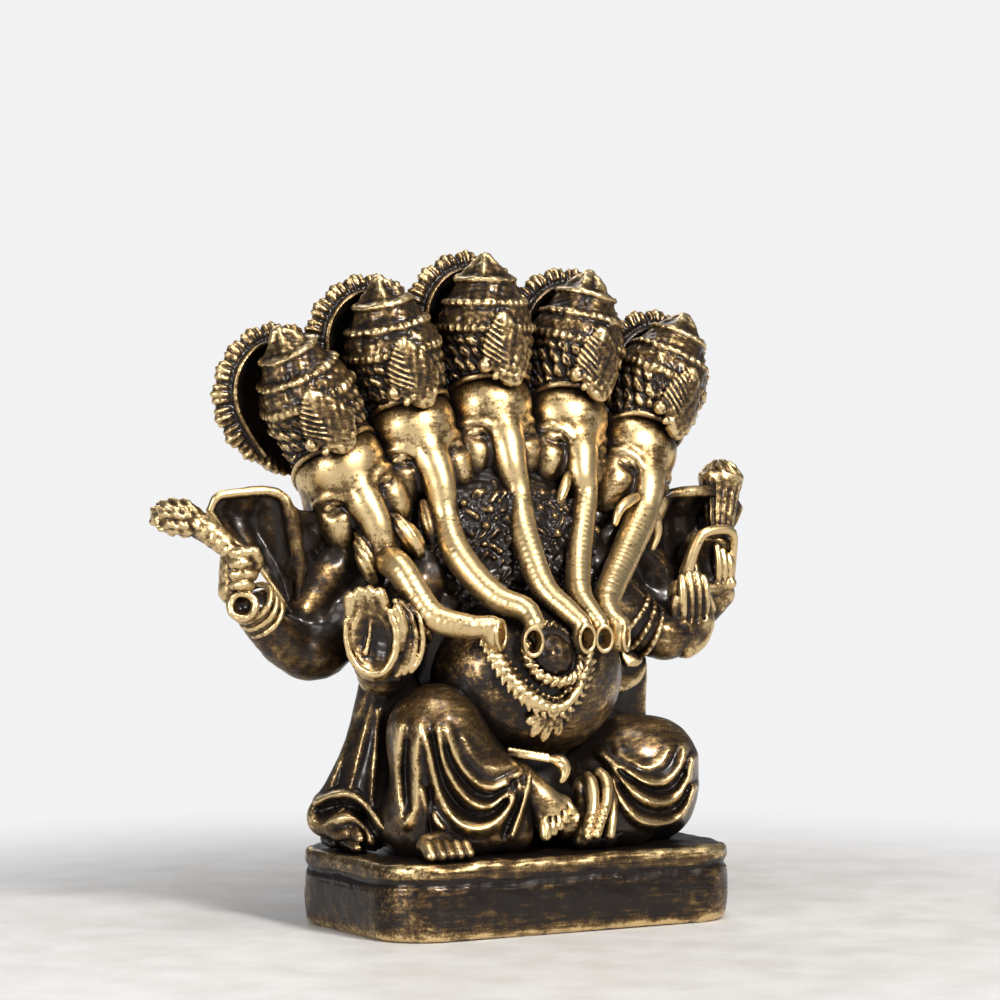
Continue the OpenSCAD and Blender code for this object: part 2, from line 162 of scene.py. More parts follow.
def egg(centre, radii):
    cx, cy, cz = centre
    rx, ry, rz = radii

    def distance(x, y, z):
        u, v, w = ((x - cx) / rx) ** 2, ((y - cy) / ry) ** 2, ((z - cz) / rz) ** 2
        size = np.sqrt(u + v + w) + TINY
        slope = np.sqrt(u / rx ** 2 + v / ry ** 2 + w / rz ** 2) + TINY
        return size * (size - 1) / slope
    return Shape(np.subtract(centre, radii), np.add(centre, radii), distance)


def rod(a, b):
    """A round bar between two points [x, y, z, radius]."""
    a, b = np.asarray(a, float), np.asarray(b, float)
    along = b[:3] - a[:3]
    length2 = float(along @ along) + 1e-9

    def distance(x, y, z):
        dx, dy, dz = x - a[0], y - a[1], z - a[2]
        t = np.clip((dx * along[0] + dy * along[1] + dz * along[2]) / length2, 0, 1)
        gap = (dx - t * along[0]) ** 2 + (dy - t * along[1]) ** 2 + (dz - t * along[2]) ** 2
        return np.sqrt(gap) - (a[3] + t * (b[3] - a[3]))
    low = np.minimum(a[:3] - a[3], b[:3] - b[3])
    high = np.maximum(a[:3] + a[3], b[:3] + b[3])
    return Shape(low, high, distance)


def smooth_path(points, step):
    """Points on a Catmull-Rom curve through the given ones, about a step apart."""
    p = np.asarray(points, float)
    ends = np.vstack([2 * p[0] - p[1], p, 2 * p[-1] - p[-2]])
    out = []
    for i in range(len(p) - 1):
        a, b, c, d = ends[i:i + 4]
        count = max(1, int(round(np.linalg.norm((c - b)[:3]) / step)))
        for t in np.arange(count) / count:
            out.append(0.5 * (2 * b + (c - a) * t + (2 * a - 5 * b + 4 * c - d) * t ** 2
                              + (3 * b - a - 3 * c + d) * t ** 3))
    out.append(p[-1])
    return np.array(out)


def bars(path, seam=0.0):
    """Round bars from each point of a path to the next."""
    return Group([rod(a, b) for a, b in zip(path[:-1], path[1:])], seam)


def chain(points, step=1.5, seam=0.0):
    """A limb or cord through points [x, y, z, radius]."""
    return bars(smooth_path(points, step), seam)


def mass(points, seam):
    """Bars from each ball to every other one, melted together."""
    return Group([rod(points[i], points[j]) for i in range(len(points)) for j in range(i)], seam)


def mirrored(side, *points):
    """Points on the figure's left with side 1, or on its right with side -1."""
    return [(side * p[0], *p[1:]) for p in points]


def turned(axis, degrees):
    """A 3x3 turn about x, y or z."""
    c, s = math.cos(math.radians(degrees)), math.sin(math.radians(degrees))
    return {"x": np.array([[1, 0, 0], [0, c, -s], [0, s, c]]),
            "y": np.array([[c, 0, s], [0, 1, 0], [-s, 0, c]]),
            "z": np.array([[c, -s, 0], [s, c, 0], [0, 0, 1]])}[axis]


def facing(direction):
    """A turn that brings the z axis to a direction."""
    w = np.asarray(direction, float) / np.linalg.norm(direction)
    u = np.cross((0, 1, 0) if abs(w[1]) < 0.9 else (1, 0, 0), w)
    u /= np.linalg.norm(u)
    return np.column_stack([u, np.cross(w, u), w])


def placed(shape, turn, at):
    """A shape turned by a 3x3 matrix and then moved."""
    at = np.asarray(at, float)
    corners = [turn @ (x, y, z) + at for x in (shape.low[0], shape.high[0])
               for y in (shape.low[1], shape.high[1]) for z in (shape.low[2], shape.high[2])]

    def distance(x, y, z):
        x, y, z = x - at[0], y - at[1], z - at[2]
        u, v, w = (turn[0][i] * x + turn[1][i] * y + turn[2][i] * z for i in range(3))
        return shape.distance(u, v, w)
    return Shape(np.min(corners, axis=0), np.max(corners, axis=0), distance)


def gap_squared(px, py, a, b):
    """Squared distance in the plane from points to the line between a and b."""
    ex, ey = b[0] - a[0], b[1] - a[1]
    t = np.clip(((px - a[0]) * ex + (py - a[1]) * ey) / (ex * ex + ey * ey + TINY), 0, 1)
    return (px - a[0] - t * ex) ** 2 + (py - a[1] - t * ey) ** 2


def outline_distance(px, py, corners):
    """Signed distance of points to a closed outline in the plane."""
    best = np.full(np.broadcast(px, py).shape, 1e9, np.float32)
    inside = np.zeros(best.shape, bool)
    for a, b in zip(corners, corners[1:] + corners[:1]):
        best = np.minimum(best, gap_squared(px, py, a, b))
        if a[1] != b[1]:
            crossing = (b[0] - a[0]) * (py - a[1]) / (b[1] - a[1]) + a[0]
            inside ^= ((a[1] > py) != (b[1] > py)) & (px < crossing)
    return np.where(inside, -1, 1) * np.sqrt(best)


def round_edge(side, cap, r):
    """A slab's distance from the distances to its outline and to its flat faces, with an edge of radius r."""
    a, b = side + r, cap + r
    return np.sqrt(np.maximum(a, 0) ** 2 + np.maximum(b, 0) ** 2) + np.minimum(np.maximum(a, b), 0) - r


class Table:
    """A function of two numbers, worked out once on a fine mesh and looked up after that."""

    def __init__(self, low, high, step, function):
        self.low, self.step = low, step
        u = np.arange(low[0], high[0] + step, step)
        v = np.arange(low[1], high[1] + step, step)
        self.values = function(u[:, None], v[None, :]).astype(np.float32)

    def at(self, u, v):
        u, v = np.broadcast_arrays((u - self.low[0]) / self.step, (v - self.low[1]) / self.step)
        i = np.clip(u.astype(np.int32), 0, self.values.shape[0] - 2)
        j = np.clip(v.astype(np.int32), 0, self.values.shape[1] - 2)
        fu, fv = np.clip(u - i, 0, 1), np.clip(v - j, 0, 1)
        t = self.values
        return ((t[i, j] * (1 - fv) + t[i, j + 1] * fv) * (1 - fu)
                + (t[i + 1, j] * (1 - fv) + t[i + 1, j + 1] * fv) * fu)


def lathe(profile):
    """A solid of revolution about z; the profile is (radius, z) from the bottom axis to the top axis."""
    top_r = max(r for r, z in profile)
    low_z, high_z = min(z for r, z in profile), max(z for r, z in profile)
    corners = profile + [(-r, z) for r, z in reversed(profile)]
    table = Table((-1, low_z - 5), (top_r + 5, high_z + 5), 0.12,
                  lambda r, z: outline_distance(r, z, corners))

    def distance(x, y, z):
        return table.at(np.sqrt(x * x + y * y), z + 0 * x)
    return Shape((-top_r, -top_r, low_z), (top_r, top_r, high_z), distance)


def ring(centre, across, up, thick, face="y"):
    """An oval hoop; face is the axis it looks along."""
    cx, cy, cz = centre

    def distance(x, y, z):
        x, y, z = x - cx, y - cy, z - cz
        if face == "x":
            x, y = y, x
        if face == "z":
            y, z = z, y
        size = np.sqrt((x / across) ** 2 + (z / up) ** 2) + TINY
        return np.sqrt(((size - 1) * (across + up) / 2) ** 2 + y * y) - thick
    r = max(across, up) + thick
    return Shape((cx - r, cy - r, cz - r), (cx + r, cy + r, cz + r), distance)


def ripple(x, y, z, size, seed=0):
    """Smooth lumps about a size apart, between -1 and 1."""
    k = 2 * math.pi / size
    s = seed * 1.7
    a = np.sin(k * (0.91 * x + 0.31 * y + 0.28 * z) + s)
    b = np.sin(k * (-0.33 * x + 0.86 * z + 0.39 * y) + 2 * s)
    c = np.sin(k * 1.37 * (0.42 * x - 0.81 * y + 0.41 * z) + 3 * s + 1)
    d = np.sin(k * 0.73 * (0.6 * x + 0.2 * y - 0.77 * z) + s + 2)
    return 0.6 * a * b + 0.4 * c * d


def ease(value, start, end):
    """A smooth step from 0 to 1."""
    t = np.clip((value - start) / (end - start), 0, 1)
    return t * t * (3 - 2 * t)


class Folds:
    """Ridges and grooves of cloth, drawn as curves on the plane that the figure is seen against.

    Each curve is its points (across, up), its height, which is negative for a groove, and its width.
    """

    def __init__(self, curves, ground):
        self.curves = curves
        self.ground = ground
        points = np.array([p for curve, height, width in curves for p in curve])
        self.table = Table(points.min(0) - 4, points.max(0) + 4, 0.25, self.height)

    def height(self, s, z):
        ridge = np.full(np.broadcast(s, z).shape, -self.ground)
        groove = np.zeros(ridge.shape)
        for curve, height, width in self.curves:
            line = smooth_path(curve, 1.0)
            gap = np.min([gap_squared(s, z, a, b) for a, b in zip(line[:-1], line[1:])], axis=0)
            part = np.clip(1 - np.sqrt(gap) / width, 0, 1)
            if height > 0:
                ridge = np.maximum(ridge, (height + self.ground) * part ** 1.4 - self.ground)
            else:
                groove = np.minimum(groove, height * part ** 1.2)
        return ridge + groove

    def at(self, x, y, z):
        across = x * math.cos(VIEW_TURN) - y * math.sin(VIEW_TURN)
        return self.table.at(across, z + 0 * x + 0 * y)


# ------------------------------------------------------------------ clay
class Clay:
    """A grid of signed distances that shapes are pressed on to and cut from, in a turned and shifted place."""

    def __init__(self, low, high, voxel, turn=None, at=(0, 0, 0)):
        self.voxel = voxel * ROUGHER
        margin = 4 * self.voxel
        self.axes = [np.arange(a - margin, b + margin, self.voxel, dtype=np.float32) for a,
                     b in zip(low, high)]
        self.d = np.full([len(a) for a in self.axes], FAR, np.float32)
        self.turn = np.eye(3) if turn is None else turn
        self.shift = np.asarray(at, float)

    def add(self, shape, seam=0.0):
        press(self.d, self.axes, shape, seam)

    def cut(self, shape, seam=0.0):
        press(self.d, self.axes, shape, seam, -1)

    def raise_by(self, height):
        """Moves the surface out by a height, a function of x, y and z, short of the grid's last layers."""
        x, y, z = (a[:-1] for a in self.axes)
        self.d[:-1, :-1, :-1] -= height(x[:, None, None], y[None, :, None], z[None, None, :])

    def floor(self, z):
        """Cuts off what is below a height."""
        self.d = np.maximum(self.d, (z - self.axes[2])[None, None, :])
        return self

    def to_world(self, points):
        return points @ self.turn.T + self.shift


def smear(values, width):
    """A box blur along each axis, an odd number of cells wide."""
    half = width // 2
    for axis in range(3):
        pad = [(half + 1, half) if i == axis else (0, 0) for i in range(3)]
        total = np.cumsum(np.pad(values, pad, mode="edge"), axis=axis, dtype=np.float64)
        ahead = [slice(None)] * 3
        behind = [slice(None)] * 3
        ahead[axis] = slice(width, None)
        behind[axis] = slice(None, -width)
        values = ((total[tuple(ahead)] - total[tuple(behind)]) / width).astype(np.float32)
    return values


def sample(values, at):
    """Values at fractional cell positions."""
    base = np.clip(np.floor(at).astype(np.int32), 0, np.array(values.shape) - 2)
    f = np.clip(at - base, 0, 1).astype(np.float32)
    i, j, k = base.T
    fx, fy, fz = f.T
    out = 0
    for dx, wx in ((0, 1 - fx), (1, fx)):
        for dy, wy in ((0, 1 - fy), (1, fy)):
            for dz, wz in ((0, 1 - fz), (1, fz)):
                out = out + values[i + dx, j + dy, k + dz] * wx * wy * wz
    return out


def skin(clay):
    """Corner points in millimetres, faces, and how proud each corner stands of its surroundings."""
    grid = vdb.FloatGrid(FAR)
    grid.copyFromArray(clay.d)
    points, faces = grid.convertToQuads(isovalue=0.0)
    width = 2 * int(round(0.75 / clay.voxel)) + 1
    proud = sample(smear(clay.d, width), points)
    start = np.array([a[0] for a in clay.axes])
    local = points * clay.voxel + start
    return clay.to_world(local).astype(np.float32), faces, proud.astype(np.float32)


# ------------------------------------------------------------------ the fan of heads
def fan_turn(h):
    return turned("y", (h - 3) * FAN_STEP)


def fan_at(h):
    reach = FAN_REACH - FAN_DROP * abs(h - 3) + FAN_LIFT * max(0, h - 3)
    return fan_turn(h) @ (0, 0, reach) + (0, HEAD_Y, FAN_PIVOT_Z)


def face_turn(h):
    """The heads also look outwards, each a little more than its inner neighbour."""
    return fan_turn(h) @ turned("z", (h - 3) * HEAD_TURN)


def in_face(h, points):
    """Points [x, y, z, radius] of the whole figure, in the place of head h."""
    p = np.asarray(points, float)
    return np.hstack([(p[:, :3] - fan_at(h)) @ face_turn(h), p[:, 3:]])


def face_clay(h, low, high, voxel):
    return Clay(low, high, voxel, face_turn(h), fan_at(h))


# Each trunk's upper part in its head's own place, and its lower part in the figure's: [x, y, z, radius].
TRUNK_ROOT = [(0, -4.4, -7.5, 4.8), (0, -8.6, -12.4, 4.4), (0, -11.0, -17.4, 3.6)]
TRUNKS = {
    1: [(-1.2, -12.8, -24.6, 3.4)],
    2: [(-1.0, -13.0, -25.0, 3.0)],
    3: [(1.0, -12.8, -25.0, 3.0)],
    4: [(1.2, -12.6, -22.6, 2.9)],
    5: [(-0.8, -12.6, -21.4, 3.7)],
}
TRUNK_ENDS = {
    1: [(-31.4, -5, 77.6, 3.2), (-27.6, -11, 68.6, 3.0), (-21.5, -16, 66.2, 2.5),
        (-16.6, -18.6, 66.4, 1.9)],
    2: [(-17, -5, 80, 3.2), (-12.4, -12, 72, 2.9), (-8, -17, 69.4, 2.5), (-7.4, -20.6, 66.4, 2.0)],
    3: [(-0.9, -5, 84, 3.1), (-0.4, -12, 73.8, 2.7), (2.8, -17.2, 68.6, 2.35), (4.8, -20.4, 65.8, 1.9)],
    4: [(12.8, -5, 81, 2.8), (8.4, -12.5, 72.4, 2.5), (8.2, -17.6, 68.2, 2.2), (9.4, -20.2, 65.4, 1.8)],
    5: [(24.0, -5, 78.4, 3.3), (15.8, -12, 70.8, 2.9), (13.8, -16.5, 67.2, 2.4), (15.0, -19.4, 65, 2.0)],
}
# Where each trunk's open end sits, the way it faces, and its size.
NOSTRILS = {
    1: ((-15.8, -19.2, 64.4), 32, 3.3),
    2: ((-8.4, -21.2, 62.8), -14, 3.3),
    3: ((4.6, -21.4, 63.0), 4, 3.2),
    4: ((9.2, -21.2, 62.8), -8, 3.0),
    5: ((14.6, -20.6, 62.6), 40, 2.9),
}


def trunk(h):
    """The trunk of head h in its own place: rings get closer and deeper towards the tip."""
    path = smooth_path(np.vstack([TRUNK_ROOT, TRUNKS[h], in_face(h, TRUNK_ENDS[h])]), 0.42)
    steps = np.linalg.norm(np.diff(path[:, :3], axis=0), axis=1)
    run = np.concatenate([[0], np.cumsum(steps)])
    part = run / run[-1]
    depth = 0.05 + 0.15 * ease(part, 0.35, 0.8)
    path[:, 3] += depth * np.sin(2 * math.pi * run / (1.75 - 0.35 * part)) * ease(part, 0.25, 0.5)
    return bars(path)


def nostril(h):
    """The flared end of a trunk, its thin lip and its hollow, in the place of head h."""
    at, look, size = NOSTRILS[h]
    turn = face_turn(h).T @ turned("z", look)
    place = in_face(h, [(*at, 1)])[0, :3]
    flare = placed(egg((0, 0.9, 0), (size * 0.72, 2.2, size * 1.0)), turn, place)
    lip = placed(ring((0, -0.7, 0), size * 0.62, size * 0.9, 0.48), turn, place)
    hollow = placed(egg((0, -0.8, 0), (size * 0.54, 4.2, size * 0.82)), turn, place)
    return flare, lip, hollow


# Lines of the left half of a face, in the head's own place: [x, y, z, radius].
CREASE = [(4.6, -9.8, -12.4, 0.3), (4.4, -10.6, -15.4, 0.4), (4.9, -9.8, -19.5, 0.55),
          (5.6, -8.2, -24, 0.7)]
BROW = [(9.2, -5.0, -9.2, 0.4), (7.6, -7.2, -8.5, 0.5), (5.4, -8.6, -8.8, 0.5), (4.2, -9.2, -9.8, 0.4)]
UPPER_LID = [(8.6, -6.3, -11.2, 0.25), (7.4, -8.0, -10.3, 0.36), (5.9, -8.7, -10.2, 0.36),
             (4.6, -8.9, -11.2, 0.25)]
LOWER_LID = [(8.4, -6.7, -11.6, 0.2), (6.8, -8.3, -12.1, 0.3), (5.2, -8.9, -11.8, 0.2)]
SMALL_EAR = [(10.0, 0.6, -10, 0.5), (10.9, -0.4, -14, 0.75), (10.7, -0.8, -19, 0.75), (9.4, -0.6, -23, 0.5)]


def head(h):
    """A smooth domed forehead, heavy cheeks, half-closed eyes and the trunk."""
    places = np.vstack([in_face(h, TRUNK_ENDS[h])[:, :3], in_face(h, [(*NOSTRILS[h][0], 1)])[:, :3]])
    low = np.minimum(places.min(0) - 5, (-12.5, -15, -30))
    high = np.maximum(places.max(0) + 5, (12.5, 9, 3.4))
    clay = face_clay(h, low, high, FINE)
    clay.add(egg((0, -0.4, -5.4), (10.2, 10.2, 9.4)))
    clay.add(egg((0, -1.0, -13.6), (8.7, 7.4, 10.5)), 3)
    for side in (-1, 1):
        clay.add(egg((side * 6.2, -4.2, -15.8), (4.9, 5.9, 7.2)), 2.0)
        clay.add(egg((side * 7.4, 0.6, -15.5), (3.6, 5.6, 9.0)), 2.5)
    clay.add(trunk(h), 2.2)
    for side in (-1, 1):
        clay.cut(chain(mirrored(side, *CREASE)), 1.2)
        clay.cut(egg((side * 6.7, -9.2, -10.9), (2.4, 1.4, 1.4)), 1.6)
        clay.add(chain(mirrored(side, *BROW)), 2.0)
        clay.add(egg((side * 6.5, -7.4, -10.9), (2.1, 1.3, 1.1)), 0.4)
        clay.add(chain(mirrored(side, *UPPER_LID)), 0.35)
        clay.add(chain(mirrored(side, *LOWER_LID)), 0.35)
        clay.add(chain(mirrored(side, *SMALL_EAR)), 0.9)
    flare, lip, hollow = nostril(h)
    clay.add(flare, 1.0)
    clay.add(lip, 0.4)
    clay.cut(hollow, 0.3)
    clay.add(lip)
    return clay


# The tusk on the figure's right of each trunk: centre line [x, y, z, radius] in the head's place.
TUSK_LINES = {
    1: [(-4.0, -10.2, -18.6, 1.4), (-4.9, -12.4, -21.6, 2.2), (-5.7, -13.0, -25.6, 2.1),
        (-5.8, -12.8, -28.4, 1.0)],
    2: [(-4.2, -10.4, -21.2, 1.3), (-5.0, -12.4, -25.2, 1.6), (-5.0, -13.0, -29.0, 1.5),
        (-4.5, -13.0, -32.4, 0.8)],
    3: [(-4.0, -10.6, -22.2, 1.3), (-5.1, -12.4, -26.2, 1.5), (-5.2, -13.0, -30.0, 1.4),
        (-4.7, -13.0, -33.4, 0.8)],
    4: [(-3.2, -11.0, -18.4, 1.1), (-4.8, -12.6, -21.4, 1.2), (-5.8, -13.1, -24.6, 1.15),
        (-5.0, -13.4, -28.4, 0.7)],
    5: [(-2.4, -11.2, -16.6, 1.1), (-5.6, -12.6, -18.6, 1.2), (-8.2, -13.2, -22.0, 1.1),
        (-8.2, -13.6, -25.4, 0.7)],
}
# The tusks on the figure's left are tucked in behind the trunks.
TUCKED = 0.72


def tusks(h):
    clay = face_clay(h, (-11, -17, -35), (11, -7, -14), FINE)
    for side in (-1, 1):
        tuck = TUCKED if side > 0 and h > 1 else 1
        line = [(-side * x * tuck, y + 3 * (1 - tuck), z, r) for x, y, z, r in TUSK_LINES[h]]
        clay.add(chain(line, 1.0))
    if h == 1:
        clay.raise_by(lambda x, y, z: 0.14 * np.sin(x * 4.2 + z * 0.5))
    return clay


def crown_profile():
    """Radius and height of the crown's tiers: each is a skirt that ends in a thin lip."""
    return [(0, -12), (9.2, -12), (9.0, -2), (9.4, 2.0), (10.1, 6.4), (10.4, 10.4), (11.1, 11.4),
            (11.0, 12.3), (10.4, 13.0),
            (10.0, 14.8), (9.1, 16.4), (9.6, 17.2), (9.3, 17.9), (7.9, 18.5), (7.1, 20.2), (6.5, 21.6),
            (7.1, 22.3),
            (6.8, 22.9), (5.2, 23.5), (3.9, 25.0), (1.0, 28.2), (0, 28.5)]


def crown_seat(y):
    """The height of the crown's lower edge, which arches up over the forehead."""
    return 1.9 - 0.048 * np.clip(y + 10, 0, 14) ** 2


def leaf_rows(x, y, z, h):
    """Rows of small overlapping leaves and rosettes, as a height."""
    turn = np.arctan2(x, -y)
    row_high, leaf_wide = 2.9, 3.1
    v = (z + 0.22 * x - 0.6) / row_high
    row = np.floor(v)
    u = turn * 9.8 / leaf_wide + 0.5 * (row % 2) + 0.55 * (v - row) + 0.3 * h
    leaf = np.floor(u)
    a, b = (u - leaf - 0.5) * 2, (v - row - 0.5) * 2
    size = 0.86 + 0.14 * np.sin(leaf * 12.9 + row * 78.2 + h)
    bump = np.sqrt(np.clip(size - a * a * (1 + 0.45 * b) - 0.75 * b * b, 0, 1))
    veins = 0.5 + 0.5 * np.cos(9 * a + 5 * b * np.sign(a))
    rosette = np.sqrt(a * a + b * b)
    dimple = np.exp(-(rosette / 0.3) ** 2) * ((leaf * 7 + row * 3 + h) % 4 == 0)
    return bump * (0.95 - 0.22 * veins) - 0.5 * dimple


def crown(h):
    """A tiered crown with rows of leaves, set on the head by a thin round band."""
    clay = face_clay(h, (-11.8, -11.8, -8.4), (11.8, 11.8, 29), FINE)
    clay.add(lathe(crown_profile()))

    def detail(x, y, z):
        turn = np.arctan2(x, -y) + 0 * z
        tier = (1 - ease(z, 9.6, 10.6)) + 0 * x
        teeth = ease(z, 10.6, 11.4) * (1 - ease(z, 12.4, 13.0))
        upper_teeth = ease(z, 16.6, 17.2) * (1 - ease(z, 18.0, 18.4))
        cone = ease(z, 22.8, 23.8) * (1 - ease(z, 26.5, 28))
        band = ease(z, 13.0, 13.8) * (1 - ease(z, 15.6, 16.4))
        waves = ripple(x, y, z, 6.5, h) * 0.3 + ripple(x, y, z, 2.3, h + 3) * 0.16
        edges = teeth * 0.2 * np.cos(turn * 37 + h) + upper_teeth * 0.16 * np.cos(turn * 29 + h)
        facets = cone * (0.35 * np.cos(turn * 5 + h) - 0.1) + band * 0.1 * np.cos(turn * 21 + 0.9 * z)
        return tier * (1.3 * leaf_rows(x, y, z, h) - 0.5) + edges + facets + waves
    clay.raise_by(detail)
    behind = HALO_Y + 0.8
    clay.raise_by(lambda x, y, z: np.where((z < crown_seat(y) - 0.2) | (y > behind), -FAR, 0) + 0 * x)
    band = []
    for a in np.linspace(0, 2 * math.pi, 33):
        x, y = 9.3 * math.cos(a), 9.3 * math.sin(a)
        z = float(crown_seat(y)) - 0.1
        band.append((x * (1 + 0.08 * ease(-z, -1, 5)), y, z, 0.72))
    clay.add(chain(band, 1.0))
    clay.cut(chain([(x * 1.01, y * 1.01, z + 1.1, 0.35) for x, y, z, r in band], 1.0), 0.25)
    return clay


def crest(h):
    """A broad plume that hugs the crown's front: combed on one side, smoother on the other."""
    clay = face_clay(h, (-9.8, -14.6, -1.4), (9.8, -2.5, 18), FINE * 0.9)
    foot, tall, reach, widest = -1.0, 16.4, 10.0, 0.42

    def place(x, y, z):
        """How far to the side of the plume's middle line, and how far up it, a point is."""
        up = (z - foot) / tall
        return np.arctan2(x, -y) * reach - 0.9 + 2.6 * up, up

    def shell(x, y, z):
        across, up = place(x, y, z)
        u = np.clip(up, 0, 1)
        taper = 1 - np.clip((u - widest) / 0.62, 0, 1) ** 1.7
        half = 5.4 * np.sqrt(np.clip(u / widest, 0, 1)) * np.clip(taper, 0, 1) + 0.2
        side = np.maximum((np.abs(across) - half) * 0.85, (np.abs(up - 0.5) - 0.5) * tall)
        thick = 0.7 + 0.9 * np.sqrt(np.clip(-side / 3.4, 0, 1))
        return round_edge(side, np.abs(np.sqrt(x * x + y * y) - 10.5) - thick, 0.6)
    clay.add(Shape((-9.6, -13.8, -2), (9.6, -3, 17), shell))

    def combing(x, y, z):
        across, up = place(x, y, z)
        left = 1 - ease(across, -1.6, -0.6)
        comb = np.sin(4.9 * (0.8 * z + 0.75 * across) + 0.5 * np.sin(z))
        faint = np.sin(3.4 * (0.3 * z - 0.95 * across))
        low = 1 - ease(up, 0.22, 0.4)
        rough = 0.22 * ripple(x, y, z, 2.2, h) + 0.1 * ripple(x, y, z, 1.4, h + 1)
        return (1 - low) * (0.3 * left * comb + 0.1 * (1 - left) * faint) + 0.5 * low * rough + 0.5 * rough
    clay.raise_by(combing)
    clay.add(ball(-5.2, -9.4, 3.8, 1.7), 0.5)
    clay.cut(ring((-5.7, -10.7, 3.8), 0.95, 0.95, 0.3), 0.25)
    for i in range(5):
        clay.add(ball(-3.6 + 1.7 * i, -10.9 - 0.25 * math.sin(i * 0.8), 1.4 + 0.9 * math.sin(i * 2.1),
                      0.85), 0.5)
    clay.add(chain([(1.8, -11.3, 2.6, 0.5), (2.8, -10.9, 5.0, 0.55), (2.0, -11.2, 7.8, 0.35)], 0.8), 0.9)
    return clay


def halo(h):
    """A scalloped hood behind the crown: ridged lobes outside, then a groove, a thin rim and a hollow."""
    mid = (h - 3) * HALO_LEAN
    reach = HALO_R + 3.6
    low, high = (mid - reach, HALO_Y - 4.2, HALO_Z - 20), (mid + reach, HALO_Y + 3, HALO_Z + reach)
    clay = Clay(low, high, MIDDLE * 0.9, fan_turn(h), fan_at(h))
    start = math.radians(90 - LOBE_SPREAD / 2)
    step = math.radians(LOBE_SPREAD / (LOBES - 1))

    def plate(x, y, z):
        u, v = x - mid, z - HALO_Z
        upper = np.sqrt(u * u + v * v) - (HALO_R + 0.5)
        lower = np.sqrt(u * u + (v + 7) ** 2) - (HALO_R - 2)
        return round_edge(np.minimum(upper, lower), np.abs(y - HALO_Y - 0.2) - 1.5, 0.9)
    wide = HALO_R + 1
    clay.add(Shape((mid - wide, HALO_Y - 1.6, HALO_Z - HALO_R - 6),
                   (mid + wide, HALO_Y + 2, HALO_Z + wide), plate))
    for a in start + step * np.arange(LOBES):
        at = (mid + 12.7 * math.cos(a), HALO_Y, HALO_Z + 12.7 * math.sin(a))
        clay.add(placed(egg((0, 0, 0), (3.2, 1.8, 3.2)), turned("y", -math.degrees(a)), at), 0.8)

    def ridges(x, y, z):
        u, v = x - mid, z - HALO_Z
        rows = np.cos((np.arctan2(v, u) - start) / step * 2 * math.pi * 3)
        fan = 0.24 * rows * ease(np.sqrt(u * u + v * v), 11.6, 12.6)
        rough = 0.16 * ripple(x, y, z, 2.6, h) + 0.15 * ripple(x, y, z, 6, h + 2)
        return np.where(y < HALO_Y + 0.6, fan, 0.4 * fan) + rough
    clay.raise_by(ridges)
    clay.cut(egg((mid, HALO_Y - 2.8, HALO_Z + 0.2), (10.8, 3.2, 11.6)), 0.6)
    clay.cut(egg((mid, HALO_Y - 2.8, HALO_Z - 9), (9.2, 3.0, 14)), 0.6)
    # The rim in the halo's own plane: [across, y, up, radius].
    arch = [(10.9 * math.cos(t), HALO_Y - 2.1, 0.4 + 11.5 * math.sin(t),
             0.6) for t in np.arange(13) * math.pi / 12]
    legs = [mirrored(side, (10.4, HALO_Y - 2.1, -5, 0.6), (9.2, HALO_Y - 1.8, -10, 0.5)) for side in (1,
                                                                                                      -1)]
    rim = legs[0][::-1] + arch + legs[1]
    clay.cut(chain([(mid + x * 1.09, y, HALO_Z + z * 1.08, 0.5) for x, y, z, r in rim], 1.0), 0.3)
    clay.add(chain([(mid + x, y, HALO_Z + z, r) for x, y, z, r in rim], 1.0), 0.2)
    return clay


# ------------------------------------------------------------------ body
def torso():
    clay = Clay((-46, -8, 16), (46, 24, 112), COARSE)
    clay.add(egg((0, 7, 74), (27, 11.5, 24)))
    clay.add(mass([(0, 11.4, 70, 8), (-32, 14.4, 86, 5.6), (32, 14.4, 86, 5.6), (0, 12.6, 99, 7)], 3), 3)
    clay.add(mass([(-15, 6, 28, 9), (15, 6, 28, 9), (-17, 7, 68, 9), (17, 7, 68, 9)], 3), 3)

    def rough_chest(x, y, z):
        chest = ease(z, 64, 68) * (1 - ease(y, 6, 10))
        return 0.35 * ripple(x, y, z, 9) + chest * 0.45 * ripple(x, y, z, 4.2, 5)
    clay.raise_by(rough_chest)
    return clay.floor(PLINTH_TOP)


def belly():
    """A round belly with a shallow crease above it."""
    low, high, middle, half = box_mm("belly")
    clay = Clay(low - 1, high + 1, COARSE * 0.9)
    clay.add(egg((0, -3.5, 54), (22.2, 17.6, 18.6)))
    crease = [(-21, -9, 63, 0.9), (-13, -17.6, 68, 1.0), (0, -19.5, 70.4, 1.0), (13, -17.6, 68, 1.0),
              (21, -9, 63, 0.9)]
    clay.cut(chain(crease), 1.6)
    clay.raise_by(lambda x, y, z: 0.16 * ripple(x, y, z, 11) + 0.07 * ripple(x, y, z, 4.3, 2))
    return clay




def dished_sheet(outline, depth, thick):
    """A sheet with the given outline in x and z; depth says where its middle plane lies in y."""
    xs, zs = zip(*outline)
    corners = [tuple(p) for p in smooth_path(outline + outline[:1], 2)]
    table = Table((min(xs) - 5, min(zs) - 5), (max(xs) + 5, max(zs) + 5), 0.2,
                  lambda x, z: outline_distance(x, z, corners))

    def distance(x, y, z):
        side = table.at(x + 0 * z, z + 0 * x)
        return round_edge(side + 0.4 * thick, np.abs(y - depth(x, z, side)) - thick, 0.6 * thick)
    return Shape((min(xs), 0, min(zs)), (max(xs), 24, max(zs)), distance)


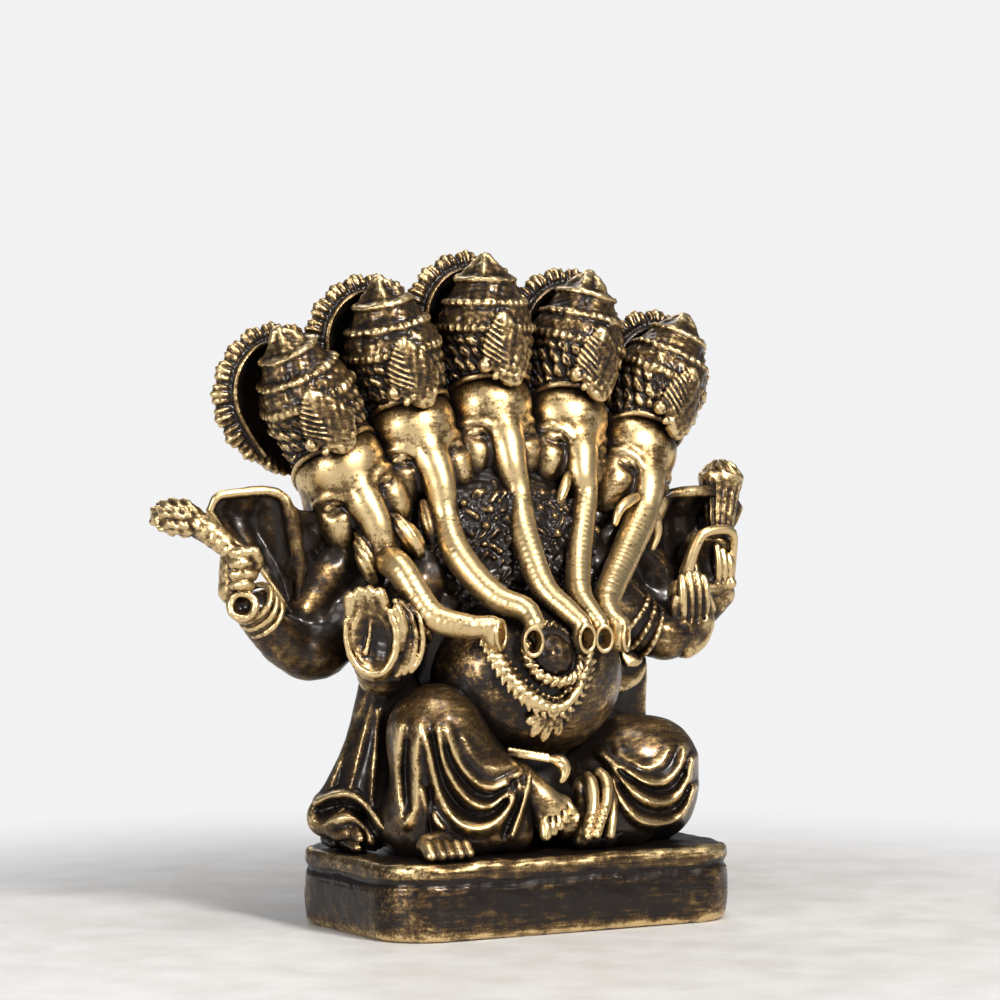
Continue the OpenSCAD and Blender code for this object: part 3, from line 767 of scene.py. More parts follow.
def back_cloak():
    """The cloak behind the figure: one sheet that falls from the heads to the plinth in folds."""
    clay = Clay((-46, 9, 16), (46, 27, 114), COARSE)
    half = [(0, 108.4), (17, 106), (31, 101), (38.6, 93), (33, 78), (26, 62), (23.6, 40), (24.6, 15)]
    outline = [(-x, z) for x, z in reversed(half[1:])] + half

    def depth(x, z, inner):
        return 18.0 + 1.2 * ease(z, 55, 95) - 0.0018 * x * x
    clay.add(dished_sheet(outline, depth, 3.6))

    def drape(x, y, z):
        spread = x / (22 + 0.18 * np.maximum(z - 20, 0))
        broad = np.sin(spread * 9.4 + 0.25 * np.sin(z * 0.09))
        fold = broad + 0.5 * np.sin(spread * 21 + 1.2 + 0.4 * np.sin(z * 0.07))
        sag = 0.35 * np.sin(z * 0.34 + 0.0035 * x * x)
        behind = ease(y, 15, 19)
        fall = 1.05 * fold * (1 - 0.4 * ease(z, 60, 100)) + sag * ease(z, 50, 70)
        return behind * fall + 0.14 * ripple(x, y, z, 5)
    clay.raise_by(drape)
    return clay.floor(PLINTH_TOP)


def plinth():
    """A block with round corners and a groove below its top slab, swelled a little by its thick gilding."""
    low, high, middle, half = box_mm("plinth")
    clay = Clay(low - 2, high + 2, 0.5)
    corner, edge, swell = 11.5, 1.5, 0.8
    groove_z = high[2] - 4.6

    def from_side(x, y):
        qx = np.maximum(np.abs(x) - (half[0] - corner), 0)
        qy = np.maximum(np.abs(y) - (half[1] - corner), 0)
        return np.sqrt(qx * qx + qy * qy) - corner - swell

    def block(x, y, z):
        bulge = 0.45 * np.sin(np.clip((z - 1) / (groove_z - 1), 0, 1) * math.pi) - 0.45
        slab = 0.3 * ease(z, groove_z - 0.3, groove_z + 0.5)
        return round_edge(from_side(x, y) - bulge - slab, np.abs(z - middle[2]) - half[2], edge)
    clay.add(Shape(low, high, block))

    def groove(x, y, z):
        wave = 0.35 * np.sin(x * 0.17 + 1) + 0.25 * np.sin(y * 0.3 + x * 0.41)
        return np.sqrt((from_side(x, y) + 0.1) ** 2 + (z - groove_z - wave) ** 2) - 0.75
    clay.cut(Shape(low, high, groove), 0.7)

    def worn(x, y, z):
        top = ease(z, high[2] - 2.2, high[2] - 0.6)
        wave = 0.3 * ripple(x, y, z, 17) + 0.18 * ripple(x, y, z, 7, 3)
        scratch = 0.07 * np.sin(z * 5.2 + 0.6 * np.sin(x * 0.13) + y * 0.1)
        pitted = 0.1 * ripple(x, y, z, 6.5, 5) + 0.05 * ripple(x, y, z, 2.4, 1)
        return top * (wave - 0.2) + scratch * (1 - top) + pitted
    clay.raise_by(worn)
    return clay


LEG_FOLDS = Folds([
    ([(-20.8, 45.3), (-18.7, 40.6), (-17.7, 35.9), (-16.3, 30.4), (-14.5, 26.8), (-11.7, 24.1),
      (-8.1, 23.2), (-4.6, 24.3), (-1.7, 27.4), (0.2, 31.5)], 1.7, 2.5),
    ([(-16.6, 44.6), (-15.9, 39.0), (-14.5, 35.3), (-12.4, 31.6), (-9.9, 29.0), (-7.1, 27.7),
      (-4.4, 28.2), (-2, 30)], 1.4, 1.9),
    ([(-14.8, 44.6), (-12.9, 38.8), (-10.6, 35.1), (-7.8, 32.6), (-4.6, 31.7), (-1.7, 33.0), (0.8, 34.8)],
     1.2, 1.9),
    ([(-11.0, 41.9), (-9.2, 38.6), (-6.7, 36.4), (-3.2, 35.6), (-0.3, 36)], 0.5, 1.8),
    ([(2.9, 34.6), (2.2, 30.7), (0.8, 26.5), (-1.0, 21.2)], 1.5, 1.5),
    ([(-20.6, 45), (-21.5, 39.3), (-21.4, 33.6), (-21.6, 28.4), (-23.6, 24.6)], 1.5, 2.4),
    ([(-21.5, 34), (-19.6, 29), (-17.6, 25.6), (-15.8, 23.6)], 1.3, 2.0),
    ([(-25.0, 45), (-25.7, 38), (-25.4, 31), (-24.6, 25.6)], 0.9, 2.2),
    ([(-18.5, 31.6), (-18.6, 27.6), (-18.4, 22.4)], -1.6, 1.2),
    ([(-17.9, 43), (-17.2, 38.5), (-15.9, 33.0), (-13.6, 29), (-11, 26.4), (-8, 25.4), (-5, 26.2),
      (-2.6, 28.6)], -1.5, 1.3),
    ([(-15.2, 41), (-13.9, 37), (-11.6, 33.4), (-8.8, 30.6), (-5.6, 29.8), (-2.8, 31.2)], -0.9, 1.0),
    ([(-1.0, 33), (0.2, 28.8), (-1.3, 24.6), (-2.8, 21.4)], -1.4, 1.3),
    ([(-23.4, 42), (-23.7, 36), (-23.5, 30), (-22.8, 27)], -0.8, 1.2),
], ground=0.35)


def right_leg():
    clay = Clay((-40, -23, 16), (1, 18, 55), MIDDLE)
    clay.add(chain([(-12, 7, 33, 11), (-19, -1, 39.4, 10.2), (-25, -8, 43.2, 9.2)]))
    clay.add(rod((-25, -8, 43.2, 9.2), (-27.4, -7, 25, 8.2)), 5)
    clay.add(rod((-24.4, -8.4, 41.6, 9), (-9.4, -14.2, 30.4, 4.8)), 5)
    clay.add(egg((-18, -9.6, 30), (11, 8.2, 11)), 5)
    clay.add(chain([(-28, -8, 21, 7), (-19.6, -14, 21.6, 5.6), (-9.6, -15.6, 22, 3.8)]), 4)
    clay.add(rod((-9.4, -14.2, 30.4, 4.8), (-9.6, -15.4, 21, 4.0)), 3)
    clay.add(rod((-16, 8, 28, 9), (-29, 0, 24, 7)), 4)
    clay.raise_by(lambda x, y, z: LEG_FOLDS.at(x, y, z) * (1 - ease(y, -2, 6)) + 0.08 * ripple(x, y, z, 5,
                                                                                               4))
    clay.cut(chain([(-31, -16, 16.6, 2.2), (-26, -19.4, 17.4, 2.4), (-21, -20, 17.2, 2.2)]), 1.2)
    return clay.floor(PLINTH_TOP)


KNEE_FOLDS = Folds([
    ([(18.6, 36.6), (21.4, 34.4), (24.7, 32.6), (28.5, 30.7), (32.2, 30.6), (35.3, 33), (36.9, 37)], 1.5,
     2.0),
    ([(20.6, 34.4), (22.7, 31.7), (25.1, 29.2), (28.5, 27.0), (32.6, 26.1), (35.6, 27.6), (37.6, 30.8),
      (38.6, 35)], 1.5, 2.0),
    ([(20.8, 31.5), (22.3, 28), (24.4, 24.9), (27.1, 22.6), (31.6, 21.4), (35.2, 22.0), (37.2, 24.6),
      (38.6, 28.4)], 1.6, 2.1),
    ([(22, 36.4), (25, 35), (28.4, 33.6), (31.4, 34.4), (33.4, 37.4)], 0.5, 2.0),
    ([(22.6, 33.2), (26, 30.5), (30, 28.5), (34, 29), (36.4, 32)], -1.1, 1.2),
    ([(22.4, 30), (24.6, 27.2), (28, 24.7), (32.4, 23.7), (36, 25.2), (37.8, 28.8)], -1.2, 1.2),
], ground=0.3)


def left_leg():
    clay = Clay((0, -22, 16), (43, 18, 47), MIDDLE)
    clay.add(chain([(14, 7, 32, 11), (23, 0, 33.4, 10.4), (31, -5, 33, 9.8)]))
    clay.add(rod((31, -5, 33, 9.8), (31.4, -6, 25.4, 9)), 5)
    clay.add(rod((30, -6, 27, 9), (19.6, -12, 23.4, 6.8)), 5)
    clay.add(rod((24, -4, 33, 9.6), (19.6, -11.6, 24, 6.8)), 5)
    clay.add(rod((19.6, -12, 23.4, 6.8), (6, -13.4, 22, 4.8)), 4)
    clay.add(rod((16, 8, 26, 9), (30, 0, 24, 8)), 4)
    clay.raise_by(lambda x, y, z: KNEE_FOLDS.at(x, y, z) * (1 - ease(y, -1, 7)) + 0.08 * ripple(x, y, z,
                                                                                                5, 6))
    return clay.floor(PLINTH_TOP)


def right_foot():
    clay = Clay((-13, -26, 16), (7, -11, 37), FINE)
    clay.add(chain([(-8.4, -15.4, 33.4, 3.1), (-5.4, -17.6, 29.6, 3.3), (-3.2, -18.9, 27, 3.0)]))
    clay.add(mass([(-5.0, -17.6, 28.6, 2.8), (-4.6, -19.4, 23.8, 2.0), (0.4, -18.6, 27.0, 2.0)], 1), 1.6)
    clay.add(ball(-9, -15.2, 29.6, 2.6), 1.5)
    for toe in range(5):
        t = toe / 4
        root = np.array([-5.2 + 6.0 * t, -20.0 + 1.0 * t, 24.4 + 3.0 * t - 0.5 * math.sin(math.pi * t)])
        tip = root + (-0.5 + 1.6 * t, -2.0 + 0.3 * t, -3.3 + 1.3 * t)
        r = 1.35 - 0.4 * t
        clay.add(chain([(*root, r * 0.9), (*((root + tip) / 2 + (0, -0.35, 0.3)), r), (*tip, r * 0.95)],
                       0.8), 0.25)
        clay.cut(rod((*(tip + (0, -r * 0.9, 0.5)), 0.3), (*(tip + (0.2, -r * 0.95, -0.3)), 0.3)), 0.2)
    for slit in range(4):
        t = (slit + 0.5) / 4
        a = (-4.6 + 5.4 * t, -20.9 + 1.2 * t, 26.0 + 2.6 * t)
        b = (-5.6 + 7.0 * t, -22.0 + 1.0 * t, 22.6 + 3.4 * t)
        clay.cut(rod((*a, 0.28), (*b, 0.4)), 0.3)
    return clay


def left_foot():
    clay = Clay((-38, -25, 16), (-18, -10, 25), FINE)
    clay.add(chain([(-23, -14.4, 20.6, 3.0), (-28, -16, 20, 3.1), (-31, -16.4, 19.6, 2.9)]))
    for toe in range(5):
        x = -33.8 + toe * 2.3
        r = 1.55 - 0.1 * abs(toe - 1)
        clay.add(chain([(x + 1.0, -16.6, 19.8, r), (x + 0.4, -19.4, 19.9, r), (x, -21.6, 18.4, r * 1.0)],
                       0.8), 0.2)
        clay.add(ball(x, -22, 18.2, r * 0.95), 0.15)
    return clay.floor(PLINTH_TOP + 0.1)


def dhoti_pleats():
    clay = Clay((2, -25, 16), (18, -11, 36), FINE)
    lines = [
        [(8.6, -15.6, 32.4, 1.2), (8.4, -17.6, 30.6, 1.6), (7.2, -20.2, 26.4, 1.35),
         (5.4, -21.6, 22.4, 1.25), (4.6, -22, 20.4, 1.3)],
        [(11.6, -15.6, 33, 1.3), (12.0, -17.4, 31.4, 1.5), (10.6, -20.0, 27.2, 1.3),
         (8.2, -21.4, 23.2, 1.25), (7.0, -21.8, 20.6, 1.3)],
        [(14.2, -14.8, 31, 1.2), (13.8, -17.6, 27.8, 1.3), (12.4, -19.6, 23.8, 1.2),
         (11.4, -20.4, 20, 1.2)],
        [(16.6, -13.8, 28.6, 1.1), (16.2, -16.2, 25.2, 1.1), (15.6, -17.6, 20, 1.1)],
    ]
    for line in lines:
        clay.add(chain(line, 1.0), 0.3)
    clay.add(mass([(9, -13.4, 30, 2), (14, -13, 28, 2), (6, -17.4, 19, 2), (13, -16.4, 19, 2)], 1), 0.8)
    for line, count in ((lines[0], 3), (lines[1], 4)):
        path = smooth_path(line, 0.5)
        for i in range(count):
            x, y, z, r = path[-1 - 4 * i]
            clay.add(ball(x - 0.3, y - 0.9, z, 0.95), 0.25)
    return clay.floor(PLINTH_TOP)


def waist_knot():
    """A beaded line round the waist and a short tied tongue."""
    clay = Clay((-13, -24, 27), (5, -13, 42), FINE)
    tongue = [(-1.8, -18.4, 37.0, 1.0), (-0.4, -19.4, 36.4, 1.5), (0.4, -19.8, 35.0, 1.3),
              (0.0, -20.3, 33.4, 0.9), (-0.8, -20.5, 32.4, 0.6)]
    clay.add(chain(tongue, 0.8))
    clay.cut(chain([(-1.2, -20.2, 36.4, 0.25), (-0.4, -21.0, 35.4, 0.3), (-0.4, -21.3, 34.0, 0.25)], 0.8),
             0.3)
    for i in range(9):
        t = i / 8
        clay.add(ball(-11 + 8 * t, -15.6 - 2.3 * t, 39.3 - 1.5 * t, 0.62), 0.25)
    clay.add(chain([(-12, -14.4, 38.4, 0.6), (-7, -16.9, 37.6, 0.6), (-3, -18.2, 36.8, 0.6)]), 0.3)
    return clay


SHAWL_FOLDS = Folds([
    ([(-43.2, 27.4), (-40.6, 28.8), (-37.4, 29.6), (-34.6, 28.9), (-31.6, 26.2), (-28.6, 22.6),
      (-25.6, 20.6)], 1.3, 1.7),
    ([(-32, 52), (-36, 42), (-39.6, 33), (-42, 27.6)], 0.7, 2.2),
    ([(-31, 50), (-33.4, 41), (-35.4, 33), (-36.4, 30)], 0.6, 1.9),
    ([(-29.8, 47), (-30.4, 39), (-31, 32), (-31.6, 27)], 0.8, 1.7),
    ([(-42.4, 24.8), (-39.5, 26.0), (-36.2, 26.4), (-33.6, 25.2), (-31.4, 22.6), (-29, 19.6)], -2.2, 2.4),
    ([(-39, 22), (-36, 22.6), (-33.4, 21)], -1.8, 2.6),
    ([(-34.6, 45), (-37.4, 37), (-38.6, 31)], -0.5, 1.6),
], ground=0.1)


def shawl(side):
    """A cloth that falls from the arm beside the leg and spreads on the plinth."""
    near, far = sorted((side * 45, side * 23))
    clay = Clay((near, -6, 16), (far, 22, 62), MIDDLE)
    top, knee = mirrored(side, (30.4, 5.4, 54, 3.6), (31.8, 7.4, 43, 3.6))
    feet = mirrored(side, (39.6, 14, 23.4, 3.0), (38.4, 7, 22.6, 3.0), (34, 0, 21.6, 2.8))
    for foot in feet:
        clay.add(chain([top, knee, foot], 2.0), 3.4)
    clay.add(mass(feet + mirrored(side, (30, 8, 38, 4)), 3), 3.4)
    clay.add(chain(mirrored(side, (29, 2, 56, 3), (26, 4.4, 49, 4), (27, 8, 38, 4.4))), 3)

    def pleats(x, y, z):
        fan = (y - 6) / (3 + 0.2 * (56 - z))
        return 0.6 * np.sin(fan * 7.5) + 0.1 * ripple(x, y, z, 5, 9)

    def folds(x, y, z):
        return SHAWL_FOLDS.at(x, y, z) + 0.08 * ripple(x, y, z, 5, 8)
    clay.raise_by(folds if side < 0 else pleats)
    return clay.floor(PLINTH_TOP)


def mouse():
    """A small mouse crouching beside the cloth, its tail round the back."""
    clay = Clay((-44, -4, 16), (-24, 26, 30), FINE)
    clay.add(chain([(-35.6, 14.6, 21.4, 4.2), (-36.4, 10, 21.6, 3.6), (-37.2, 6, 22, 2.7)]))
    clay.add(chain([(-37.2, 6, 22, 2.6), (-37.8, 3.4, 20.8, 1.8), (-38.2, 1.2, 19.9, 0.9)]), 0.8)
    for side in (-1, 1):
        ear_x, paw_x = -37 + side * 2.3, -37.2 + side * 2.0
        clay.add(egg((ear_x, 6.6, 24.7), (1.6, 0.9, 1.7)), 0.3)
        clay.cut(egg((ear_x, 5.6, 24.8), (0.95, 0.7, 1.05)), 0.2)
        clay.add(ball(-37.5 + side * 1.35, 3.8, 21.9, 0.5), 0.15)
        paw = [(-37 + side * 2.2, 6, 19, 1.4), (paw_x, 2.6, 18.2, 1.1), (paw_x, 0.6, 17.9, 0.9)]
        clay.add(chain(paw, 0.8), 0.5)
        clay.add(chain([(-36 + side * 3.2, 13.6, 19, 2.1), (-36.4 + side * 3.4, 10, 18.2, 1.3)], 0.8), 0.6)
    tail = [(-35, 18, 20, 1.2), (-32.6, 20.8, 19, 0.95), (-29, 22.2, 18.6, 0.75), (-25.6, 22.4, 18.8, 0.5)]
    clay.add(chain(tail, 0.8), 0.4)
    clay.raise_by(lambda x, y, z: 0.07 * np.sin(x * 3.1 + z * 2) * np.sin(y * 2.7))
    return clay.floor(PLINTH_TOP + 0.1)


# ------------------------------------------------------------------ arms and hands
def arm(points, seed, elbow, shoulder=()):
    p = np.array(points)
    clay = Clay(p[:, :3].min(0) - 8.5, p[:, :3].max(0) + 8.5, MIDDLE * 1.1)
    clay.add(chain(points, 2.0))
    clay.add(ball(*elbow), 3)
    if shoulder:
        clay.add(chain(list(shoulder), 2.0), 3)
    clay.raise_by(lambda x, y, z: 0.3 * ripple(x, y, z, 12, seed) + 0.12 * ripple(x, y, z, 5, seed + 2))
    return clay


ARMS = {
    "right_rear_arm": ([(-25, 12, 78, 7), (-36, 11, 66, 6.6), (-46, 9, 60, 5.8), (-55, 7, 63.4, 5),
                        (-62, 4.6, 70, 4)], 1, (-45, 9.6, 60.6, 5.8),
                       ((-30, 12.4, 82, 6.4), (-40.5, 12, 77.4, 5.2), (-47, 11, 69, 4.6))),
    "right_front_arm": ([(-21, 4, 76, 6.6), (-29, 1, 64, 6), (-34, -1.4, 55.8, 5),
                         (-37.6, -3.0, 57.4, 4)], 2, (-33.6, -1.2, 57, 5)),
    "left_rear_arm": ([(25, 12, 78, 7), (35, 11, 66, 6.4), (45, 10, 63.6, 5.2), (52, 9, 65.6, 4.6),
                       (57, 8, 69, 3.8)], 3, (44, 10, 64, 5.4),
                      ((30, 12.4, 82, 6.4), (39, 12, 77.4, 5.0), (45, 11, 70, 4.4))),
    "left_front_arm": ([(21, 4, 76, 6.6), (29, 1, 65, 6), (38, -1, 60.6, 4.6), (42, -1.6, 62, 4.4)], 4,
                       (37, -0.6, 61.4, 4.8)),
}




def ear(rim, seed, root=()):
    """A wide ear: a thick rolled edge round a smooth dark hollow with soft folds."""
    p = np.array(rim + list(root))
    clay = Clay(p[:, :3].min(0) - (3, 3, 3), p[:, :3].max(0) + (3, 6, 3), FINE * 1.1)
    outline = [(x, z) for x, y, z, r in rim]
    slope = np.polyfit([x for x, y, z, r in rim], [y for x, y, z, r in rim], 1)

    def depth(x, z, inner):
        sunk = np.clip(-inner, 0, 6)
        folds = 0.35 * np.sin(x * 1.1 + 0.15 * z + seed) * ease(sunk, 1, 3)
        return slope[0] * x + slope[1] + 1.0 + 0.62 * sunk + folds
    clay.add(dished_sheet(outline, depth, 1.1))
    clay.add(chain(rim + rim[:1], 1.0), 0.8)
    if root:
        clay.add(mass(list(root), 1.5), 1.5)
    clay.raise_by(lambda x, y, z: 0.1 * ripple(x, y, z, 4, seed))
    return clay


def right_ear():
    rim = [(-69.2, 11.4, 91, 0.8), (-67.4, 11, 94.0, 0.95), (-63.4, 10.4, 94.6, 1.0),
           (-58.2, 9.8, 95.0, 1.1), (-54.0, 9.4, 94.4, 1.1), (-51.6, 9.2, 91.6, 1.3),
           (-50.0, 9.0, 84.6, 1.6), (-48.9, 8.8, 77, 1.2), (-50.3, 8.8, 68.6, 0.7), (-54, 9.4, 73.0, 0.6),
           (-59.4, 10.4, 80.4, 0.6), (-65.6, 11.2, 86, 0.7)]
    return ear(rim, 1, [(-50.2, 10.6, 89.4, 1.5), (-49.6, 10.6, 78, 1.5), (-41.5, 13, 88, 2),
                        (-41.5, 13, 78, 2)])


def left_ear():
    rim = [(64.6, 11, 88, 0.9), (62, 10.2, 90.4, 1.1), (56.6, 9, 92, 1.3), (51, 8.2, 92.4, 1.3),
           (44, 8.4, 91.6, 1.1), (40.2, 9.0, 87, 0.8),
           (39.8, 9.6, 78, 0.7), (41.6, 9.8, 69, 0.6), (49, 9.4, 69, 0.8), (56, 10.6, 77, 0.8),
           (62.6, 11.2, 84, 0.8)]
    return ear(rim, 4)


def fist(side, at, bangles, along):
    """Four fingers closed round a shaft, its hollow end below them, and bracelets at the wrist."""
    at = np.array(at, float)
    clay = Clay(at + (-9, -9, -15), at + (14, 11, 10), FINE)

    def there(*points):
        return [(at[0] + side * x, at[1] + y, at[2] + z, r) for x, y, z, r in points]
    clay.add(mass(there((0, 2.2, 4, 3), (0.2, 2.4, -3, 3.2)), 1))
    for finger in range(4):
        z = 5.2 - finger * 2.3
        wave = 0.6 * math.sin(finger * 2.2)
        thick = 1.3 - 0.06 * finger
        clay.add(chain(there((-2.0, 0.4, z - 0.5, thick), (-1.6 + wave, -2.0, z, thick + 0.1),
                             (0.5 + wave, -2.7, z + 0.2, thick), (1.8, -1.2, z, thick - 0.1)), 1.0), 0.5)
        clay.cut(chain(there((-1.6, -3.6, z - 1.2, 0.25), (1.2, -4.1, z - 1.1, 0.25)), 1.0), 0.4)
    clay.add(chain(there((-3.2, 0.8, 0.4, 1.6), (-3.4, -1.8, 3.2, 1.4), (-2.0, -3.4, 5.6, 1.1)), 1.0), 0.4)
    end = at + (0.2, -1.4, -6.2)
    look = turned("z", -30) @ turned("x", -12)
    clay.add(placed(egg((0, 1.2, 0), (3.3, 2.6, 3.3)), look, end), 0.8)
    clay.cut(placed(egg((0, -1.2, 0), (2.1, 2.4, 2.1)), look, end), 0.3)
    clay.add(placed(ring((0, -0.9, 0), 2.7, 2.7, 0.85), look, end), 0.3)
    for spot in bangles:
        clay.add(placed(ring((0, 0, 0), 4.6, 4.6, 0.75, "z"), facing(along), spot), 0.4)
    clay.raise_by(lambda x, y, z: 0.12 * ripple(x, y, z, 2.6, 4))
    return clay


def right_rear_hand():
    bangles = [(-62.4, 4.4, 71.4), (-60.8, 4.9, 69.8), (-59.2, 5.5, 68.2)]
    return fist(-1, (-66.8, 2.4, 77.2), bangles, (-16, -5, 12))


def left_rear_hand():
    """A hand closed round a shaft: one finger arches over the dark hollow of the palm."""
    clay = Clay((43, -2, 64), (66, 14, 88), FINE)
    clay.add(mass([(50.6, 8.4, 73, 3.0), (56.6, 8.4, 73, 3.0), (52, 8.4, 80.6, 2.6),
                   (57, 8.4, 80.4, 2.6)], 1))
    loop = [(46.8, 5.2, 74.4, 1.6), (48.4, 4.6, 79.4, 1.4), (50.4, 4.2, 82.8, 1.2),
            (53.6, 4.0, 83.8, 1.1), (57.6, 4.2, 83.6, 1.1), (59.2, 4.8, 81.8, 1.0),
            (59.4, 5.4, 77.5, 0.9), (58.8, 5.6, 72.6, 1.1)]
    clay.cut(egg((53.6, 3.6, 77.6), (4.4, 3.6, 5.2)), 0.6)
    clay.add(chain(loop, 1.0), 0.4)
    clay.add(chain([(46.8, 5.2, 74.4, 1.5), (49.6, 5.0, 71.0, 1.5), (54, 5.0, 70.6, 1.4),
                    (57.2, 5.2, 71.2, 1.3)], 1.0), 0.5)
    for finger in range(3):
        x = 55.0 + 1.5 * finger
        clay.add(chain([(x, 5.2, 80 - finger, 0.75), (x + 0.2, 4.6, 76, 0.85), (x, 4.8, 71.8, 0.85)],
                       1.0), 0.2)
    clay.add(ball(58.4, 4.6, 71.6, 1.3), 0.4)
    for band in range(2):
        clay.add(placed(ring((0, 0, 0), 4.2, 4.2, 0.7, "z"), facing((12, -2, 5.4)),
                        (53.4 - 1.8 * band, 8.4, 68.2 - 0.8 * band)), 0.4)
    clay.add(chain([(55, 8, 70, 3.6), (52.6, 8.6, 67.6, 3.9)]), 0.8)
    return clay


def right_front_hand():
    """An open palm, hollowed like a dish, with its fingers together and beaded bands beside it."""
    turn = turned("z", -30) @ turned("y", -9)
    at = np.array((-39.8, -6.4, 65.2))
    clay = Clay((-9, -6, -12), (12.5, 6, 12), FINE, turn, at)
    clay.add(egg((0, 0.6, -0.6), (6.0, 3.3, 9.4)))
    clay.add(egg((0, 0.8, -6), (4.6, 3.2, 5)), 1.5)
    for finger in range(4):
        x = -3.6 + finger * 2.4
        top = 8.8 - 0.5 * abs(finger - 1.4) ** 1.5
        clay.add(chain([(x, -0.4, 3.5, 1.5), (x * 0.96, -1.0, 6.6, 1.4), (x * 0.9, -1.3, top, 1.3)], 1.0),
                 0.5)
    clay.cut(egg((0.1, -3.4, -1.9), (4.6, 2.9, 6.6)), 0.5)
    for slit in range(4):
        x = -2.9 + slit * 1.95
        clay.cut(chain([(x, -2.8, 3.4, 0.45), (x * 0.97, -3.0, 6, 0.5),
                        (x * 0.95, -2.7, 8.6 - 0.3 * abs(slit - 1.5), 0.4)], 1.0), 0.35)
    rim = [(-4.8, -2.2, 3.2, 0.65), (-5.3, -2.2, -1.8, 0.7), (-4.3, -2.3, -6.2, 0.75),
           (-1.5, -2.4, -8.9, 0.8), (1.6, -2.4, -8.7, 0.85), (4.3, -2.3, -5.6, 0.85),
           (5.3, -2.2, -0.8, 0.8), (4.6, -2.3, 3.8, 0.65)]
    clay.add(chain(rim, 1.0), 0.4)
    clay.add(chain([(-1.8, -1.5, -4.4, 0.5), (-0.4, -1.2, -1, 0.45), (0.4, -1.2, 2.4, 0.35)], 1.0), 0.8)
    clay.add(chain([(5.4, -0.4, -4, 1.7), (6.8, -1.4, 0.2, 1.4), (6.4, -1.8, 4, 1.1)], 1.0), 0.6)
    for band in range(3):
        x0 = 7.2 + band * 1.5
        line = [(x0 - 1.2, 0.6, 5.4 - band * 0.6, 0.5), (x0 + 0.4, -0.2, 1.6, 0.6),
                (x0 + 0.6, -0.3, -3, 0.6), (x0 - 0.8, 0, -7.4, 0.6), (x0 - 3, 0.4, -10, 0.5)]
        path = smooth_path(line, 1.15)
        if band == 0:
            for point in path:
                clay.add(ball(*point[:3], 0.75), 0.15)
        else:
            clay.add(chain(line, 1.0), 0.3)
    clay.add(chain([(7, 2, 4, 2), (8.4, 2.4, -2, 2.6), (5, 2.4, -8, 2.8)]), 0.8)
    clay.raise_by(lambda x, y, z: 0.1 * ripple(x, y, z, 3, 2) + 0.05 * ripple(x, y, z, 1.3, 6))
    return clay


def left_front_hand():
    """A raised hand, its four long fingers side by side above a small round hollow."""
    turn = turned("z", 4)
    at = np.array((42.6, -2.4, 66.8))
    clay = Clay((-9, -7, -12), (9, 6, 12), FINE, turn, at)
    clay.add(mass([(-2.2, 0, -4, 2.9), (2.6, 0, -3, 2.9), (-2.0, 0.4, 4, 2.0), (2.4, 0.4, 4, 2.0),
                   (-1.0, 0.4, -7.2, 3.0)], 1.5))
    for finger in range(4):
        x = -3.0 + finger * 2.05
        top = 8.0 - 0.6 * abs(finger - 1.4) ** 1.4
        low = -3.4 + 0.6 * finger
        clay.add(chain([(x * 0.94, -2.2, low, 0.8), (x, -2.3, 1.2, 1.05), (x, -2.1, 4.8, 1.1),
                        (x * 0.94, -1.5, top, 0.95)], 1.0), 0.15)
    for slit in range(3):
        x = -1.95 + slit * 2.05
        clay.cut(chain([(x, -3.0, -2.4, 0.4), (x, -3.1, 1.2, 0.5), (x, -3.0, 5.0, 0.5),
                        (x, -2.4, 7.4, 0.4)], 1.0), 0.25)
    clay.cut(ball(-3.2, -3.2, -4.2, 1.1), 0.3)
    clay.add(chain([(-3.8, -0.4, -4.4, 1.3), (-4.6, -1.0, -0.8, 1.1), (-4.4, -1.4, 2.4, 0.9)], 1.0), 0.5)
    clay.add(chain([(4.6, -0.8, 2.0, 1.0), (4.9, -1.0, -3.0, 1.2), (3.0, -1.2, -7.4, 1.2),
                    (-1.0, -1.2, -9.6, 1.1)], 1.0), 1.0)
    return clay


def armlets(side):
    """Three beaded bands that hug the front arm."""
    near, far = sorted((side * 22, side * 44))
    clay = Clay((near, -10, 46), (far, 11, 74), FINE)
    arm_name, start = ("right_front_arm", 26) if side < 0 else ("left_front_arm", 28)
    arm_line = smooth_path(ARMS[arm_name][0], 0.5)
    for i in range(start, start + 15, 5):
        at, r = arm_line[i, :3], arm_line[i, 3] + 0.5
        turn = facing(arm_line[i + 1, :3] - arm_line[i - 1, :3])
        clay.add(placed(ring((0, 0, 0), r - 0.3, r - 0.3, 0.8, "z"), turn, at))
        for a in 2 * math.pi * np.arange(24) / 24:
            spot = turn @ ((r + 0.2) * math.cos(a), (r + 0.2) * math.sin(a), 0) + at
            clay.add(ball(*spot, 0.6), 0.15)
    return clay


